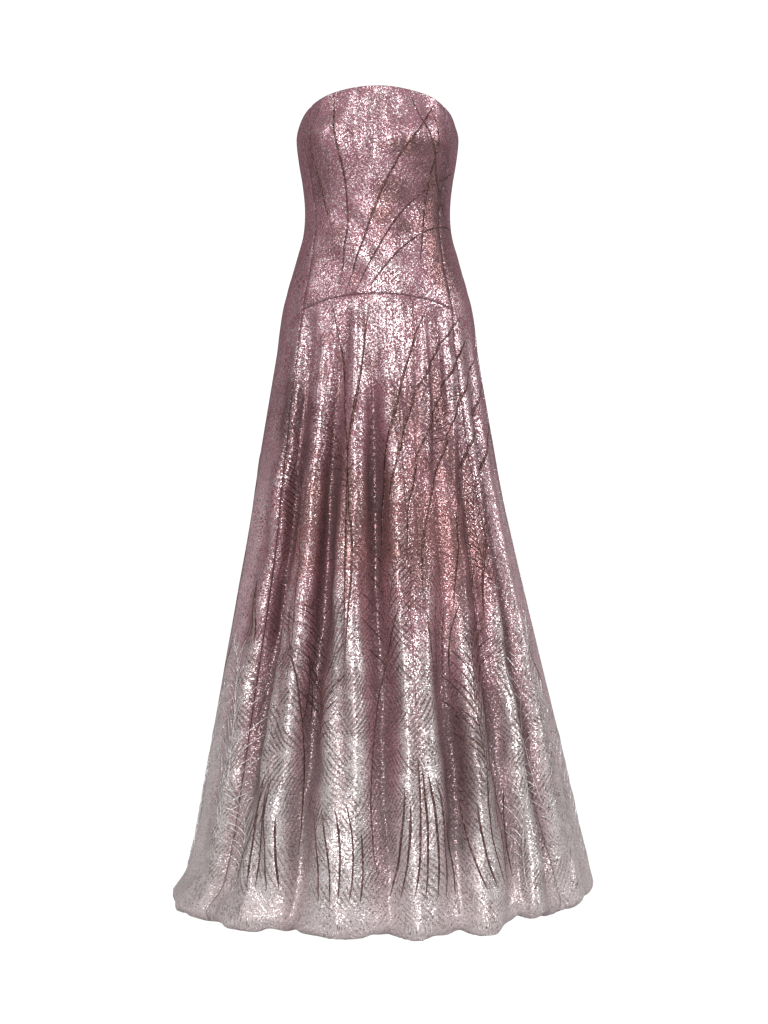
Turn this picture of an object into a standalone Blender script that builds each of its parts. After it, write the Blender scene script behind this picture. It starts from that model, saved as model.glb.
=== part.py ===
"""A strapless a-line gown with a dropped waist, filled out as it is when worn, with nobody in it.

Each panel is a wall of cloth of even thickness, cut from one surface that runs round the figure
and from the neckline to the hem. Angles are measured round the figure: 0 is the centre front,
90 the left-hand side seam seen from behind (+X), 180 the centre back. The origin is the middle
of the waist, the front faces -Y, and all sizes are in metres.
"""

import math
from collections import namedtuple

import bmesh
import bpy
from mathutils import Matrix, Vector

# Driving sizes
CLOTH = 0.002  # sequin-covered cloth
SEAM_GAP = 0.0003  # between two pieces where they are sewn
FLOOR = -1.165  # the hem lies here, below the waist
ROLL = 0.020  # radius of the bend where the cloth turns under at the floor
TURNED_UNDER = 0.034  # how far the turned-under hem runs in from that bend
HEM_LIFT = 0.004  # the raw edge of it rides this far off the floor
BREAK_START = 0.062  # above the floor, where the skirt starts to break outwards
BREAK = 0.006  # how far it breaks outwards all round
HEM_RAISED = 0.014  # the hem hangs this much higher at the +X side
RAISED_FROM, RAISED_FULL, RAISED_LAST, RAISED_TO = 31.0, 41.0, 100.0, 130.0

NECK_SIDE = 0.122  # neckline height at the side seams
NECK_RISE_FRONT = 0.070  # and how much higher the centre front is
NECK_DROP_BACK = 0.014  # and how much lower the centre back is
DROP_SEAM_FRONT = -0.148  # dropped-waist seam at the centre front
DROP_SEAM_FALL = 0.068  # how far it falls towards the sides
DROP_SEAM_BACK = -0.200  # the same seam at the centre back

BUST_ANGLE, BUST_HEIGHT = 35.0, 0.108
BUST_OUT, BUST_WIDE, BUST_TALL = 0.017, 20.0, 0.050

# The figure's cross-sections, from the top down. The widths are the outline in the front view.
Section = namedtuple("Section", "height half_width front back square shift")
SECTIONS = [
    Section(0.205, 0.1300, 0.1080, 0.0800, 0.030, 0.000),
    Section(0.146, 0.1343, 0.1160, 0.0860, 0.035, 0.000),
    Section(0.122, 0.1375, 0.1195, 0.0895, 0.040, 0.000),
    Section(0.085, 0.1336, 0.1180, 0.0900, 0.040, 0.000),
    Section(0.045, 0.1270, 0.1080, 0.0855, 0.035, 0.000),
    Section(0.003, 0.1233, 0.0995, 0.0800, 0.030, 0.000),
    Section(-0.037, 0.1260, 0.0990, 0.0815, 0.030, 0.000),
    Section(-0.078, 0.1369, 0.1035, 0.0930, 0.030, 0.000),
    Section(-0.119, 0.1490, 0.1085, 0.1070, 0.025, 0.000),
    Section(-0.160, 0.1598, 0.1140, 0.1200, 0.020, 0.000),
    Section(-0.200, 0.1662, 0.1210, 0.1300, 0.015, 0.000),
    Section(-0.241, 0.1712, 0.1290, 0.1380, 0.010, 0.000),
    Section(-0.323, 0.1850, 0.1460, 0.1540, 0.005, 0.000),
    Section(-0.445, 0.2060, 0.1700, 0.1780, 0.000, 0.001),
    Section(-0.568, 0.2290, 0.1940, 0.2030, 0.000, 0.005),
    Section(-0.731, 0.2630, 0.2220, 0.2350, 0.000, 0.009),
    Section(-0.894, 0.2960, 0.2480, 0.2670, 0.000, 0.014),
    Section(-1.057, 0.3280, 0.2720, 0.2980, 0.000, 0.018),
    Section(-1.165, 0.3440, 0.2900, 0.3180, 0.000, 0.016),
]

# The skirt's folds. Each is a trough between two round crests: its angle below the waist seam
# and at the hem, its depth where it is deepest, and half its width in degrees.
Fold = namedtuple("Fold", "angle_top angle_hem depth half_width")
FOLDS = [
    Fold(-168, -167, 0.020, 9.0),
    Fold(-152, -150, 0.027, 9.5),
    Fold(-141, -140, 0.007, 5.0),
    Fold(-132, -130, 0.024, 9.0),
    Fold(-114, -111, 0.020, 9.0),
    Fold(-100, -97, 0.008, 6.0),
    Fold(-81, -82, 0.009, 7.0),
    Fold(-58, -68, 0.010, 6.5),
    Fold(-40, -53, 0.030, 9.0),
    Fold(-31, -40, 0.008, 5.0),
    Fold(-22, -27, 0.028, 8.5),
    Fold(-13, -13.5, 0.007, 5.0),
    Fold(-4, 0, 0.027, 9.0),
    Fold(12, 9.5, 0.009, 5.0),
    Fold(31, 19, 0.027, 8.5),
    Fold(48, 36, 0.025, 8.0),
    Fold(64, 51, 0.023, 8.0),
    Fold(74, 63, 0.007, 5.0),
    Fold(84, 75, 0.012, 8.0),
    Fold(97, 96, 0.008, 6.0),
    Fold(112, 110, 0.021, 9.0),
    Fold(130, 128, 0.026, 9.5),
    Fold(140, 139, 0.007, 5.0),
    Fold(150, 148, 0.024, 9.0),
    Fold(168, 166, 0.019, 9.0),
]
FOLD_AT_SEAM = 0.11  # share of a fold's depth just under the dropped-waist seam
FOLD_STARTS = 0.04  # share of the skirt's length over which it reaches that
FOLD_FULL = 0.62  # share of the skirt's length at which a fold is at its deepest
FOLD_GROWTH = 0.8  # below 1, a fold opens faster at first
FOLD_FADES = 0.86  # share of the skirt's length from which it opens out again
FOLD_AT_FLOOR = 0.72  # share of its depth that is left where the cloth bends under

# Where the skirt spreads further on the floor: the middle, how far, and half the width in degrees
Spread = namedtuple("Spread", "angle outwards half_width")
SPREADS = [
    Spread(-92, 0.013, 28.0),
    Spread(-55, 0.026, 24.0),
    Spread(0, 0.005, 30.0),
]

# Lengthwise seams: their angle at each height. The far side mirrors them.
Seam = namedtuple("Seam", "height front side back")
SEAMS = [
    Seam(0.190, 50.0, 90.0, 131.0),
    Seam(0.000, 57.0, 90.0, 125.0),
    Seam(-0.170, 48.5, 90.0, 130.0),
    Seam(-1.165, 56.0, 90.0, 128.0),
]

# Shares of the way down at which a panel has a row of points
BODICE_ROWS = [0.0, 0.14, 0.28, 0.42, 0.56, 0.70, 0.85, 1.0]
SKIRT_ROWS = [0.05, 0.12, 0.20, 0.29, 0.39, 0.50, 0.61, 0.72, 0.82, 0.91, 1.0]
ROLL_TURNS = [0.36, 0.68, 1.0]  # shares of the quarter turn under
STAGE_BODICE, STAGE_SKIRT, STAGE_ROLL, STAGE_TURNED = 1.0, 2.0, 3.0, 4.0

NORMAL_TURN, NORMAL_STAGE = 0.4, 0.012  # steps over which the cloth's direction is taken

# The zip that closes the centre back
ZIP_END_STAGE = 1.05  # it ends at this row of the skirt, below the dropped waist
ZIP_TOP_GAP = 0.004  # its tape starts this far under the neckline
TAPE_GAP = 0.0005  # from the panels' inside to the tape
TAPE_HALF_WIDTH, TAPE_THICKNESS, TAPE_COLUMNS = 0.012, 0.0007, 6
SLIDER_WIDTH, SLIDER_LENGTH, SLIDER_THICKNESS, SLIDER_EDGE = 0.0050, 0.0090, 0.0015, 0.0004
SLIDER_BELOW = 0.2  # share of its length by which its middle is below the pull's pivot
SLIDER_DROP = 0.010  # from the neckline to the pull's pivot
BAIL_WIDTH, BAIL_INNER, BAIL_WALL = 0.0016, 0.0011, 0.0008
PULL_BAR, PULL_WIDTH, PULL_EYE = 0.0010, 0.0044, 0.0023
PULL_LENGTH, PULL_HALF_TIP, PULL_EYE_SIDE = 0.021, 0.0033, 0.0011

COLOURS = {
    "mauve": ((0.46, 0.27, 0.31, 1.0), 0.30, 0.75),
    "silver_rose": ((0.62, 0.53, 0.54, 1.0), 0.30, 0.75),
    "zip_tape": ((0.35, 0.22, 0.25, 1.0), 0.80, 0.0),
    "zip_metal": ((0.58, 0.50, 0.50, 1.0), 0.30, 1.0),
}


def eased(t):
    """0 to 1 with a soft start and end."""
    t = min(1.0, max(0.0, t))
    return t * t * (3.0 - 2.0 * t)


def read(table, column, height):
    """A column of a table at any height, on a smooth curve through its rows."""
    heights = [row.height for row in table]
    values = [getattr(row, column) for row in table]
    height = min(heights[0], max(heights[-1], height))
    i = 0
    while i < len(heights) - 2 and height < heights[i + 1]:
        i += 1
    span = heights[i + 1] - heights[i]
    t = (height - heights[i]) / span

    def slope(k):
        low, high = max(0, k - 1), min(len(heights) - 1, k + 1)
        return (values[high] - values[low]) / (heights[high] - heights[low])

    start, end = slope(i) * span, slope(i + 1) * span
    t2, t3 = t * t, t * t * t
    return (
        (2 * t3 - 3 * t2 + 1) * values[i]
        + (t3 - 2 * t2 + t) * start
        + (3 * t2 - 2 * t3) * values[i + 1]
        + (t3 - t2) * end
    )


def turn_between(a, b):
    """The signed angle from b to a, from -180 to 180 degrees."""
    return (a - b + 180.0) % 360.0 - 180.0


def neckline(angle):
    """Height of the top edge: high at the front, lowest at the back."""
    forward = math.cos(math.radians(angle))
    if forward > 0:
        return NECK_SIDE + NECK_RISE_FRONT * forward**0.9
    return NECK_SIDE + NECK_DROP_BACK * forward


def dropped_seam(angle):
    """Height of the dropped-waist seam, which arches over the front."""
    forward = math.cos(math.radians(angle))
    side = DROP_SEAM_FRONT - DROP_SEAM_FALL
    if forward > 0:
        return side + DROP_SEAM_FALL * forward
    return side + (DROP_SEAM_BACK - side) * -forward


def bust(angle, height):
    """How far the cups stand out from the figure's oval."""
    across = (abs(turn_between(angle, 0)) - BUST_ANGLE) / BUST_WIDE
    up = (height - BUST_HEIGHT) / BUST_TALL
    return BUST_OUT * math.exp(-across * across - up * up)


def fold_depth(angle, down):
    """How far the folds pull the cloth in, at a share of the way down the skirt."""
    if down <= 0.0:
        return 0.0
    growth = FOLD_AT_SEAM * eased(down / FOLD_STARTS)
    growth += (1.0 - FOLD_AT_SEAM) * eased(down / FOLD_FULL) ** FOLD_GROWTH
    growth *= 1.0 - (1.0 - FOLD_AT_FLOOR) * eased((down - FOLD_FADES) / (1.0 - FOLD_FADES))
    total = 0.0
    for fold in FOLDS:
        centre = fold.angle_top + (fold.angle_hem - fold.angle_top) * down
        away = abs(turn_between(angle, centre)) / fold.half_width
        if away < 1.0:
            total += fold.depth * 0.5 * (1.0 + math.cos(math.pi * away))
    return total * growth


def figure_point(angle, height, outwards):
    """A point on the oval at this height, moved outwards in the plane of the section."""
    turn = math.radians(angle)
    depth = read(SECTIONS, "front" if math.cos(turn) > 0 else "back", height)
    wide = read(SECTIONS, "half_width", height)
    fuller = 1.0 + read(SECTIONS, "square", height) * math.sin(2 * turn) ** 2
    x, y = wide * math.sin(turn) * fuller, -depth * math.cos(turn) * fuller
    across, along = x / wide**2, y / depth**2
    length = math.hypot(across, along)
    return Vector(
        (
            x + outwards * across / length + read(SECTIONS, "shift", height),
            y + outwards * along / length,
            height,
        )
    )


def spread(angle, height):
    """The break where the skirt meets the floor and spreads."""
    outwards = BREAK
    for row in SPREADS:
        away = turn_between(angle, row.angle) / row.half_width
        outwards += row.outwards * math.exp(-away * away)
    return outwards * eased((FLOOR + BREAK_START - height) / BREAK_START)


def raised(angle):
    """How much higher the hem hangs at one side."""
    there = eased((angle - RAISED_FROM) / (RAISED_FULL - RAISED_FROM))
    return HEM_RAISED * there * eased((RAISED_TO - angle) / (RAISED_TO - RAISED_LAST))


def cloth_point(angle, stage):
    """A point on the outside of the gown. Stage runs 0 to 1 down the bodice, 1 to 2 down the
    skirt, 2 to 3 round the bend at the floor, and 3 to 4 along the turned-under hem."""
    angle = turn_between(angle, 0.0)
    top, seam, bend = neckline(angle), dropped_seam(angle), FLOOR + ROLL + raised(angle)
    if stage <= STAGE_BODICE:
        height = top + (seam - top) * stage
        return figure_point(angle, height, bust(angle, height))
    down = min(stage, STAGE_SKIRT) - STAGE_BODICE
    height = seam + (bend - seam) * down
    outwards = spread(angle, height - raised(angle)) - fold_depth(angle, down)
    if stage > STAGE_SKIRT:
        turn = math.pi / 2 * min(1.0, stage - STAGE_SKIRT)
        outwards -= ROLL * (1.0 - math.cos(turn))
        height = bend - ROLL * math.sin(turn)
    point = figure_point(angle, bend if stage > STAGE_SKIRT else height, outwards)
    point.z = height
    if stage > STAGE_ROLL:
        along = stage - STAGE_ROLL
        point = figure_point(angle, bend, outwards - TURNED_UNDER * along)
        point.z = height + HEM_LIFT * eased(along)
    return point


def cloth_normal(angle, stage):
    """The outward direction of the cloth there."""
    across = cloth_point(angle + NORMAL_TURN, stage) - cloth_point(angle - NORMAL_TURN, stage)
    lower = cloth_point(angle, min(STAGE_TURNED, stage + NORMAL_STAGE))
    upper = cloth_point(angle, max(0.0, stage - NORMAL_STAGE))
    return (lower - upper).cross(across).normalized()


def seam_angle(which, side, stage):
    """The angle of a lengthwise seam at a stage of the way down, on side -1 or 1."""
    if which == "centre_back":
        return 180.0 * side
    height = cloth_point(side * SEAMS[0].side, stage).z
    return side * read(SEAMS, which, height)


def seam_trim(angle, stage):
    """Degrees that take half the seam gap off a panel's edge."""
    across = cloth_point(angle + NORMAL_TURN, stage) - cloth_point(angle - NORMAL_TURN, stage)
    return SEAM_GAP / 2 * 2 * NORMAL_TURN / across.length


def all_stages(first, last):
    """Every row from the neckline to the hem's raw edge that lies between two stages."""
    rows = list(BODICE_ROWS)
    rows += [STAGE_BODICE + share for share in SKIRT_ROWS]
    rows += [STAGE_SKIRT + share for share in ROLL_TURNS]
    rows += [STAGE_ROLL + 0.5, STAGE_TURNED]
    return [row for row in rows if first <= row <= last]


def material(name):
    """A Principled BSDF with a colour, roughness and metallic value."""
    made = bpy.data.materials.get(name)
    if made:
        return made
    colour, roughness, metallic = COLOURS[name]
    made = bpy.data.materials.new(name)
    made.use_nodes = True
    shader = made.node_tree.nodes["Principled BSDF"]
    shader.inputs["Base Color"].default_value = colour
    shader.inputs["Roughness"].default_value = roughness
    shader.inputs["Metallic"].default_value = metallic
    return made


def add_object(name, mesh, collection, colour):
    """An object with that mesh and finish, in the collection."""
    mesh.materials.append(material(colour))
    made = bpy.data.objects.new(name, mesh)
    collection.objects.link(made)
    return made


def wall_between(name, outer, inner, collection, colour):
    """A closed wall from two grids of points, one for each face of the cloth."""
    rows, columns = len(outer), len(outer[0])
    shape = bmesh.new()
    front = [[shape.verts.new(point) for point in row] for row in outer]
    rear = [[shape.verts.new(point) for point in row] for row in inner]
    for i in range(rows - 1):
        for j in range(columns - 1):
            corners = [(i, j), (i + 1, j), (i + 1, j + 1), (i, j + 1)]
            shape.faces.new([front[a][b] for a, b in corners])
            shape.faces.new([rear[a][b] for a, b in reversed(corners)])
    rim = [(0, j) for j in range(columns)]
    rim += [(i, columns - 1) for i in range(1, rows)]
    rim += [(rows - 1, j) for j in reversed(range(columns - 1))]
    rim += [(i, 0) for i in reversed(range(1, rows - 1))]
    for ends in zip(rim, rim[1:] + rim[:1]):
        (a, b), (c, d) = sorted(ends)  # so that both sides of a seam are split the same way
        shape.faces.new([front[a][b], front[c][d], rear[c][d]])
        shape.faces.new([front[a][b], rear[c][d], rear[a][b]])
    bmesh.ops.recalc_face_normals(shape, faces=shape.faces)
    mesh = bpy.data.meshes.new(name)
    shape.to_mesh(mesh)
    shape.free()
    made = add_object(name, mesh, collection, colour)
    mesh.shade_smooth()
    return made


def panel(name, left, right, columns, first, last, collection, colour):
    """A panel between two lengthwise seams, each a seam's name and its side, -1 or 1. Half the
    seam gap is taken off every edge that is sewn to another panel."""
    outer, inner = [], []
    stages = all_stages(first, last)
    for stage in stages:
        shift = 0.0
        if stage == first and first > 0.0:
            shift = 1.0
        if stage == last and last < STAGE_TURNED:
            shift = -1.0
        start, end = [seam_angle(which, side, stage) for which, side in (left, right)]
        start += seam_trim(start, stage)
        end -= seam_trim(end, stage)
        face, back = [], []
        for j in range(columns + 1):
            angle = start + (end - start) * j / columns
            step = (cloth_point(angle, stage + NORMAL_STAGE) - cloth_point(angle, stage)).length
            at = stage + shift * SEAM_GAP / 2 * NORMAL_STAGE / max(step, SEAM_GAP)
            point = cloth_point(angle, at)
            face.append(point)
            back.append(point - CLOTH * cloth_normal(angle, at))
        outer.append(face)
        inner.append(back)
    return wall_between(name, outer, inner, collection, colour)


def zip_tape(collection):
    """The closed zip's two tapes as one strip on the inside of the centre-back seam. It has the
    same rows as the panels, so that it lies flat against them."""
    waist_depth = abs(cloth_point(180.0, STAGE_BODICE / 2).y)
    half_turn = math.degrees(TAPE_HALF_WIDTH / waist_depth)
    outer, inner = [], []
    for stage in all_stages(0.0, ZIP_END_STAGE):
        face, back = [], []
        for j in range(TAPE_COLUMNS + 1):
            angle = 180.0 + half_turn * (2 * j / TAPE_COLUMNS - 1)
            point, normal = cloth_point(angle, stage), cloth_normal(angle, stage)
            face.append(point - (CLOTH + TAPE_GAP) * normal)
            back.append(point - (CLOTH + TAPE_GAP + TAPE_THICKNESS) * normal)
        outer.append(face)
        inner.append(back)
    for grid in (outer, inner):
        grid[0] = [
            high.lerp(low, ZIP_TOP_GAP / (high - low).length) for high, low in zip(grid[0], grid[1])
        ]
    return wall_between("zip_tape", outer, inner, collection, "zip_tape")


def outline_plate(name, outlines, thickness):
    """A flat plate in the curve's own plane, with any further outlines as holes."""
    curve = bpy.data.curves.new(name, "CURVE")
    curve.dimensions = "2D"
    curve.fill_mode = "BOTH"
    curve.extrude = thickness / 2
    for outline in outlines:
        spline = curve.splines.new("POLY")
        spline.points.add(len(outline) - 1)
        for point, (x, y) in zip(spline.points, outline):
            point.co = (x, y, 0.0, 1.0)
        spline.use_cyclic_u = True
    maker = bpy.data.objects.new(name + "_outline", curve)
    bpy.context.scene.collection.objects.link(maker)
    graph = bpy.context.evaluated_depsgraph_get()
    mesh = bpy.data.meshes.new_from_object(maker.evaluated_get(graph))
    bpy.data.objects.remove(maker)
    shape = bmesh.new()
    shape.from_mesh(mesh)
    bmesh.ops.remove_doubles(shape, verts=shape.verts, dist=0.00001)
    bmesh.ops.recalc_face_normals(shape, faces=shape.faces)
    shape.to_mesh(mesh)
    shape.free()
    mesh.name = name
    mesh.materials.clear()
    return mesh


def arc(radius, start, end, steps, centre=(0.0, 0.0)):
    """Points on an arc, from one angle to another in degrees."""
    turns = [math.radians(start + (end - start) * i / steps) for i in range(steps + 1)]
    return [(centre[0] + radius * math.cos(t), centre[1] + radius * math.sin(t)) for t in turns]


def pull_pivot():
    """The pull's pivot and the tilt of the wall that the slider lies on."""
    height = neckline(180.0) - SLIDER_DROP
    stage = STAGE_BODICE * SLIDER_DROP / (neckline(180.0) - dropped_seam(180.0))
    normal = cloth_normal(180.0, stage)
    stand_off = SEAM_GAP + SLIDER_THICKNESS + BAIL_INNER
    point = cloth_point(180.0, stage) + stand_off * normal
    return Vector((0.0, point.y, height)), math.atan2(normal.z, normal.y)


def zip_slider(collection, cutters):
    """The slider on the seam's outside, with the small arch that holds the pull."""
    pivot, tilt = pull_pivot()
    shape = bmesh.new()
    middle = Vector((0.0, -BAIL_INNER - SLIDER_THICKNESS / 2, -SLIDER_LENGTH * SLIDER_BELOW))
    size = Matrix.Diagonal((SLIDER_WIDTH, SLIDER_THICKNESS, SLIDER_LENGTH, 1.0))
    bmesh.ops.create_cube(shape, size=1.0, matrix=Matrix.Translation(middle) @ size)
    mesh = bpy.data.meshes.new("zip_slider")
    shape.to_mesh(mesh)
    shape.free()
    slider = add_object("zip_slider", mesh, collection, "zip_metal")
    slider.location = pivot
    slider.rotation_euler = (tilt, 0.0, 0.0)
    soft = slider.modifiers.new("soft_edges", "BEVEL")
    soft.width = SLIDER_EDGE
    soft.segments = 2

    outer = BAIL_INNER + BAIL_WALL
    foot = -BAIL_INNER - SLIDER_THICKNESS / 2
    arch = [(foot, -outer)] + arc(outer, -90, 90, 10) + [(foot, outer)]
    arch += [(foot, BAIL_INNER)] + arc(BAIL_INNER, 90, -90, 10) + [(foot, -BAIL_INNER)]
    bail = bpy.data.objects.new("zip_bail", outline_plate("zip_bail", [arch], BAIL_WIDTH))
    cutters.objects.link(bail)
    bail.hide_render = True
    bail.display_type = "WIRE"
    lay = Matrix(((0, 0, 1, 0), (1, 0, 0, 0), (0, 1, 0, 0), (0, 0, 0, 1)))
    bail.data.transform(lay)
    bail.location, bail.rotation_euler = slider.location, slider.rotation_euler
    join = slider.modifiers.new("bail", "BOOLEAN")
    join.operation = "UNION"
    join.object = bail
    return slider


def zip_pull(collection):
    """The drop-shaped pull: its bar turns in the slider's arch, and it hangs straight down."""
    pivot, _ = pull_pivot()
    half_bar, half = PULL_BAR / 2, PULL_WIDTH / 2
    tip = -(PULL_LENGTH - PULL_HALF_TIP)
    outline = [(-half, half_bar), (-half, -PULL_EYE - PULL_BAR)]
    outline += arc(PULL_HALF_TIP, 200, 340, 12, (0.0, tip))
    outline += [(half, -PULL_EYE - PULL_BAR), (half, half_bar)]
    side = PULL_EYE_SIDE
    eye = [(-side, -half_bar), (side, -half_bar)]
    eye += [(side, -half_bar - PULL_EYE), (-side, -half_bar - PULL_EYE)]
    mesh = outline_plate("zip_pull", [outline, eye], PULL_BAR)
    mesh.transform(Matrix.Rotation(math.pi / 2, 4, "X"))
    pull = add_object("zip_pull", mesh, collection, "zip_metal")
    pull.location = pivot
    return pull


def clear_scene():
    for thing in list(bpy.data.objects):
        bpy.data.objects.remove(thing)


def main():
    clear_scene()
    gown = bpy.data.collections.new("a_line_gown")
    cutters = bpy.data.collections.new("cutters")
    for collection in (gown, cutters):
        bpy.context.scene.collection.children.link(collection)

    whole = (0.0, STAGE_TURNED)
    bodice = (0.0, STAGE_BODICE)
    skirt = (STAGE_BODICE, STAGE_TURNED)
    panel("bodice_front", ("front", -1), ("front", 1), 24, *bodice, gown, "mauve")
    panel("skirt_front", ("front", -1), ("front", 1), 48, *skirt, gown, "silver_rose")
    for side, word in ((-1, "right"), (1, "left")):
        front_seam, side_seam = ("front", side), ("side", side)
        back_seam, centre_back = ("back", side), ("centre_back", side)
        for name, one, other, columns, (first, last), colour in (
            ("side_front", front_seam, side_seam, 16, whole, "mauve"),
            ("side_back", side_seam, back_seam, 16, whole, "mauve"),
            ("bodice_back", back_seam, centre_back, 12, bodice, "mauve"),
            ("skirt_back", back_seam, centre_back, 22, skirt, "silver_rose"),
        ):
            edges = (one, other) if side > 0 else (other, one)
            panel(f"{name}_{word}", *edges, columns, first, last, gown, colour)
    zip_tape(gown)
    zip_slider(gown, cutters)
    zip_pull(gown)


main()
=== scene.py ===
# %% [markdown]
# # A sequinned a-line gown, filled out as when worn
#
# The solid model of the gown already exists: plain panels with the right outline and the
# largest folds. This lesson dresses it. Each panel becomes a fine, thin shell with creases,
# the shells get a cloth made of thousands of small tilted sequins, and lines of beads,
# stitching and the zip's coil are laid on top. The frame is loaded first, because every piece
# has to ride on one of its bodies. Most of what follows is kept in short tables, one row for
# each light, fold, crease or bead line, so a small helper gives their columns names.

import math
from collections import namedtuple

import bpy
import numpy as np
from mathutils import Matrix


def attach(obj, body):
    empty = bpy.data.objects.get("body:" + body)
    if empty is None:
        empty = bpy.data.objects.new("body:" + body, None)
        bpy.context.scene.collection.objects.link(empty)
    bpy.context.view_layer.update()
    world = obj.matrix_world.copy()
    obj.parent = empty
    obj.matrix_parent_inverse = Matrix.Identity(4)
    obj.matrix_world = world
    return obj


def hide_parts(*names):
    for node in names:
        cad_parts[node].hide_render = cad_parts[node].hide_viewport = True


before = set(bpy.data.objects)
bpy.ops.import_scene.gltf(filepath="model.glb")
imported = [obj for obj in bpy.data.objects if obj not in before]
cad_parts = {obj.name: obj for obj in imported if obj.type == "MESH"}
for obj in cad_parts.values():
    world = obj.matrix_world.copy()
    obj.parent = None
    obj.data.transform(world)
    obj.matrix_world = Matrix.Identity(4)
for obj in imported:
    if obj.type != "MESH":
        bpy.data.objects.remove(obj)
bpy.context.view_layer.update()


def table(name, columns, rows):
    """Rows whose columns have names."""
    row_type = namedtuple(name, columns)
    return [row_type(*row) for row in rows]


# %% [markdown]
# ## Camera, floor and light
#
# The gown stands on a pale floor in an even, bright studio. The camera is level, three metres
# away and a little above the middle of the skirt, which keeps the hem's curve flat. Sequins are
# small mirrors: they only look lively when they reflect a few bright areas with darker ones
# between them. So one tall, narrow soft box stands in front, a little to the left, and draws a
# bright streak down each fold. Weaker ones fill in the sides. The two behind stand low and
# high, so that the bodice's edge doesn't mirror them, and the surroundings stay dimmer than
# the white that is seen.

# %% Camera
CAMERA_AT = (0.011, -3.0, -0.5066)
FLOOR = -1.165

camera_data = bpy.data.cameras.new("camera")
camera_data.lens = 62.05
camera = bpy.data.objects.new("camera", camera_data)
camera.location = CAMERA_AT
camera.rotation_euler = (math.pi / 2, 0, 0)
bpy.context.scene.collection.objects.link(camera)
bpy.context.scene.camera = camera
print("camera at", CAMERA_AT, "lens", camera_data.lens)

# %% [markdown]
# ## Writing materials as formulas
#
# A node graph is easier to read as a formula. `Value` wraps one output socket, and its
# operators add Math nodes, so `1 - mask` or `a * b + 0.2` build the graph by themselves.
# Every other node comes from `Graph.node`, which sets the node's own settings first and then
# fills or links its sockets.


# %% A small language for shader graphs
class Value:
    """An output socket with arithmetic."""

    def __init__(self, graph, socket):
        self.graph, self.socket = graph, socket

    def maths(self, operation, *others):
        sockets = dict(enumerate((self, *others)))
        return self.graph.out("ShaderNodeMath", 0, {"operation": operation}, sockets)

    def __add__(self, other):
        return self.maths("ADD", other)

    def __sub__(self, other):
        return self.maths("SUBTRACT", other)

    def __rsub__(self, other):
        return self.graph.out("ShaderNodeMath", 0, {"operation": "SUBTRACT"}, {0: other, 1: self})

    def __mul__(self, other):
        return self.maths("MULTIPLY", other)

    def __lt__(self, other):
        return self.maths("LESS_THAN", other)

    __radd__ = __add__


print("a value knows", [name for name in vars(Value) if not name.startswith("__")])

# %% [markdown]
# The graph offers what the materials below need: mixing, vectors, eased ranges, noise, and the
# three parts of a colour or a vector.


# %% The graph of a material
class Graph:
    """The node tree of a material or world."""

    def __init__(self, tree):
        self.tree = tree
        self.tree.nodes.clear()

    def node(self, kind, settings=None, sockets=None):
        made = self.tree.nodes.new(kind)
        for name, value in (settings or {}).items():
            setattr(made, name, value)
        for name, value in (sockets or {}).items():
            if isinstance(value, Value):
                self.tree.links.new(value.socket, made.inputs[name])
            else:
                made.inputs[name].default_value = value
        return made

    def out(self, kind, output, settings=None, sockets=None):
        return Value(self, self.node(kind, settings, sockets).outputs[output])

    def split(self, kind, value):
        """The three parts of a colour or a vector."""
        made = self.node(kind, None, {0: value})
        return [Value(self, made.outputs[k]) for k in range(3)]

    def named(self, attribute):
        """The colour and the share that are painted on the points."""
        made = self.node("ShaderNodeAttribute", {"attribute_name": attribute})
        return Value(self, made.outputs["Color"]), Value(self, made.outputs["Alpha"])

    def noise(self, place, scale, detail, rough, output="Fac", dimensions="3D"):
        sockets = {"Vector": place, "Scale": scale, "Detail": detail, "Roughness": rough}
        return self.out("ShaderNodeTexNoise", output, {"noise_dimensions": dimensions}, sockets)

    def off_middle(self, colour):
        """A random colour as a random direction."""
        return self.vector("SUBTRACT", colour, (0.5, 0.5, 0.5))

    def principled(self, sockets):
        self.finish(self.out("ShaderNodeBsdfPrincipled", 0, None, sockets))

    def mix(self, share, a, b, blend="MIX"):
        settings = {"data_type": "RGBA", "blend_type": blend}
        return self.out("ShaderNodeMix", 2, settings, {0: share, 6: a, 7: b})

    def vector(self, operation, a, b=None, scale=None):
        sockets = {0: a, 1: b, "Scale": scale}
        sockets = {name: value for name, value in sockets.items() if value is not None}
        return self.out("ShaderNodeVectorMath", 0, {"operation": operation}, sockets)

    def smooth(self, value, low, high, start=0.0, end=1.0):
        """The value's way from low to high, eased, as start to end."""
        settings = {"interpolation_type": "SMOOTHSTEP"}
        sockets = {0: value, 1: low, 2: high, 3: start, 4: end}
        return self.out("ShaderNodeMapRange", 0, settings, sockets)

    def finish(self, shader):
        self.node("ShaderNodeOutputMaterial", None, {"Surface": shader})


def new_material(name):
    made = bpy.data.materials.new(name)
    made.use_nodes = True
    return made, Graph(made.node_tree)


TURN = 2 * math.pi


def wave(value, length):
    """A sine wave of this length."""
    return (value * (TURN / length)).maths("SINE")


print("shader language ready")

# %% [markdown]
# The floor is a plain pale sheet that reaches past the horizon of the level camera. What the
# camera sees of it is close to white, and it throws back a softer light than that, so the
# lower sequins don't wash out. The world does the same.

# %% Floor, world and lights
WHITE_SEEN, WHITE_SHED = 1.1, 0.12
MATT_WHITE, GLOW_SHARE = (0.8, 0.8, 0.8, 1), 0.93
REACH, JUST_BELOW = 60.0, 0.0005
bpy.context.scene.view_settings.view_transform = "Standard"

floor_mesh = bpy.data.meshes.new("floor")
floor_corners = [(-REACH, -REACH, 0), (REACH, -REACH, 0), (REACH, REACH, 0), (-REACH, REACH, 0)]
floor_mesh.from_pydata(floor_corners, [], [(0, 1, 2, 3)])
floor = bpy.data.objects.new("floor", floor_mesh)
floor.location.z = FLOOR - JUST_BELOW
bpy.context.scene.collection.objects.link(floor)

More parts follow.
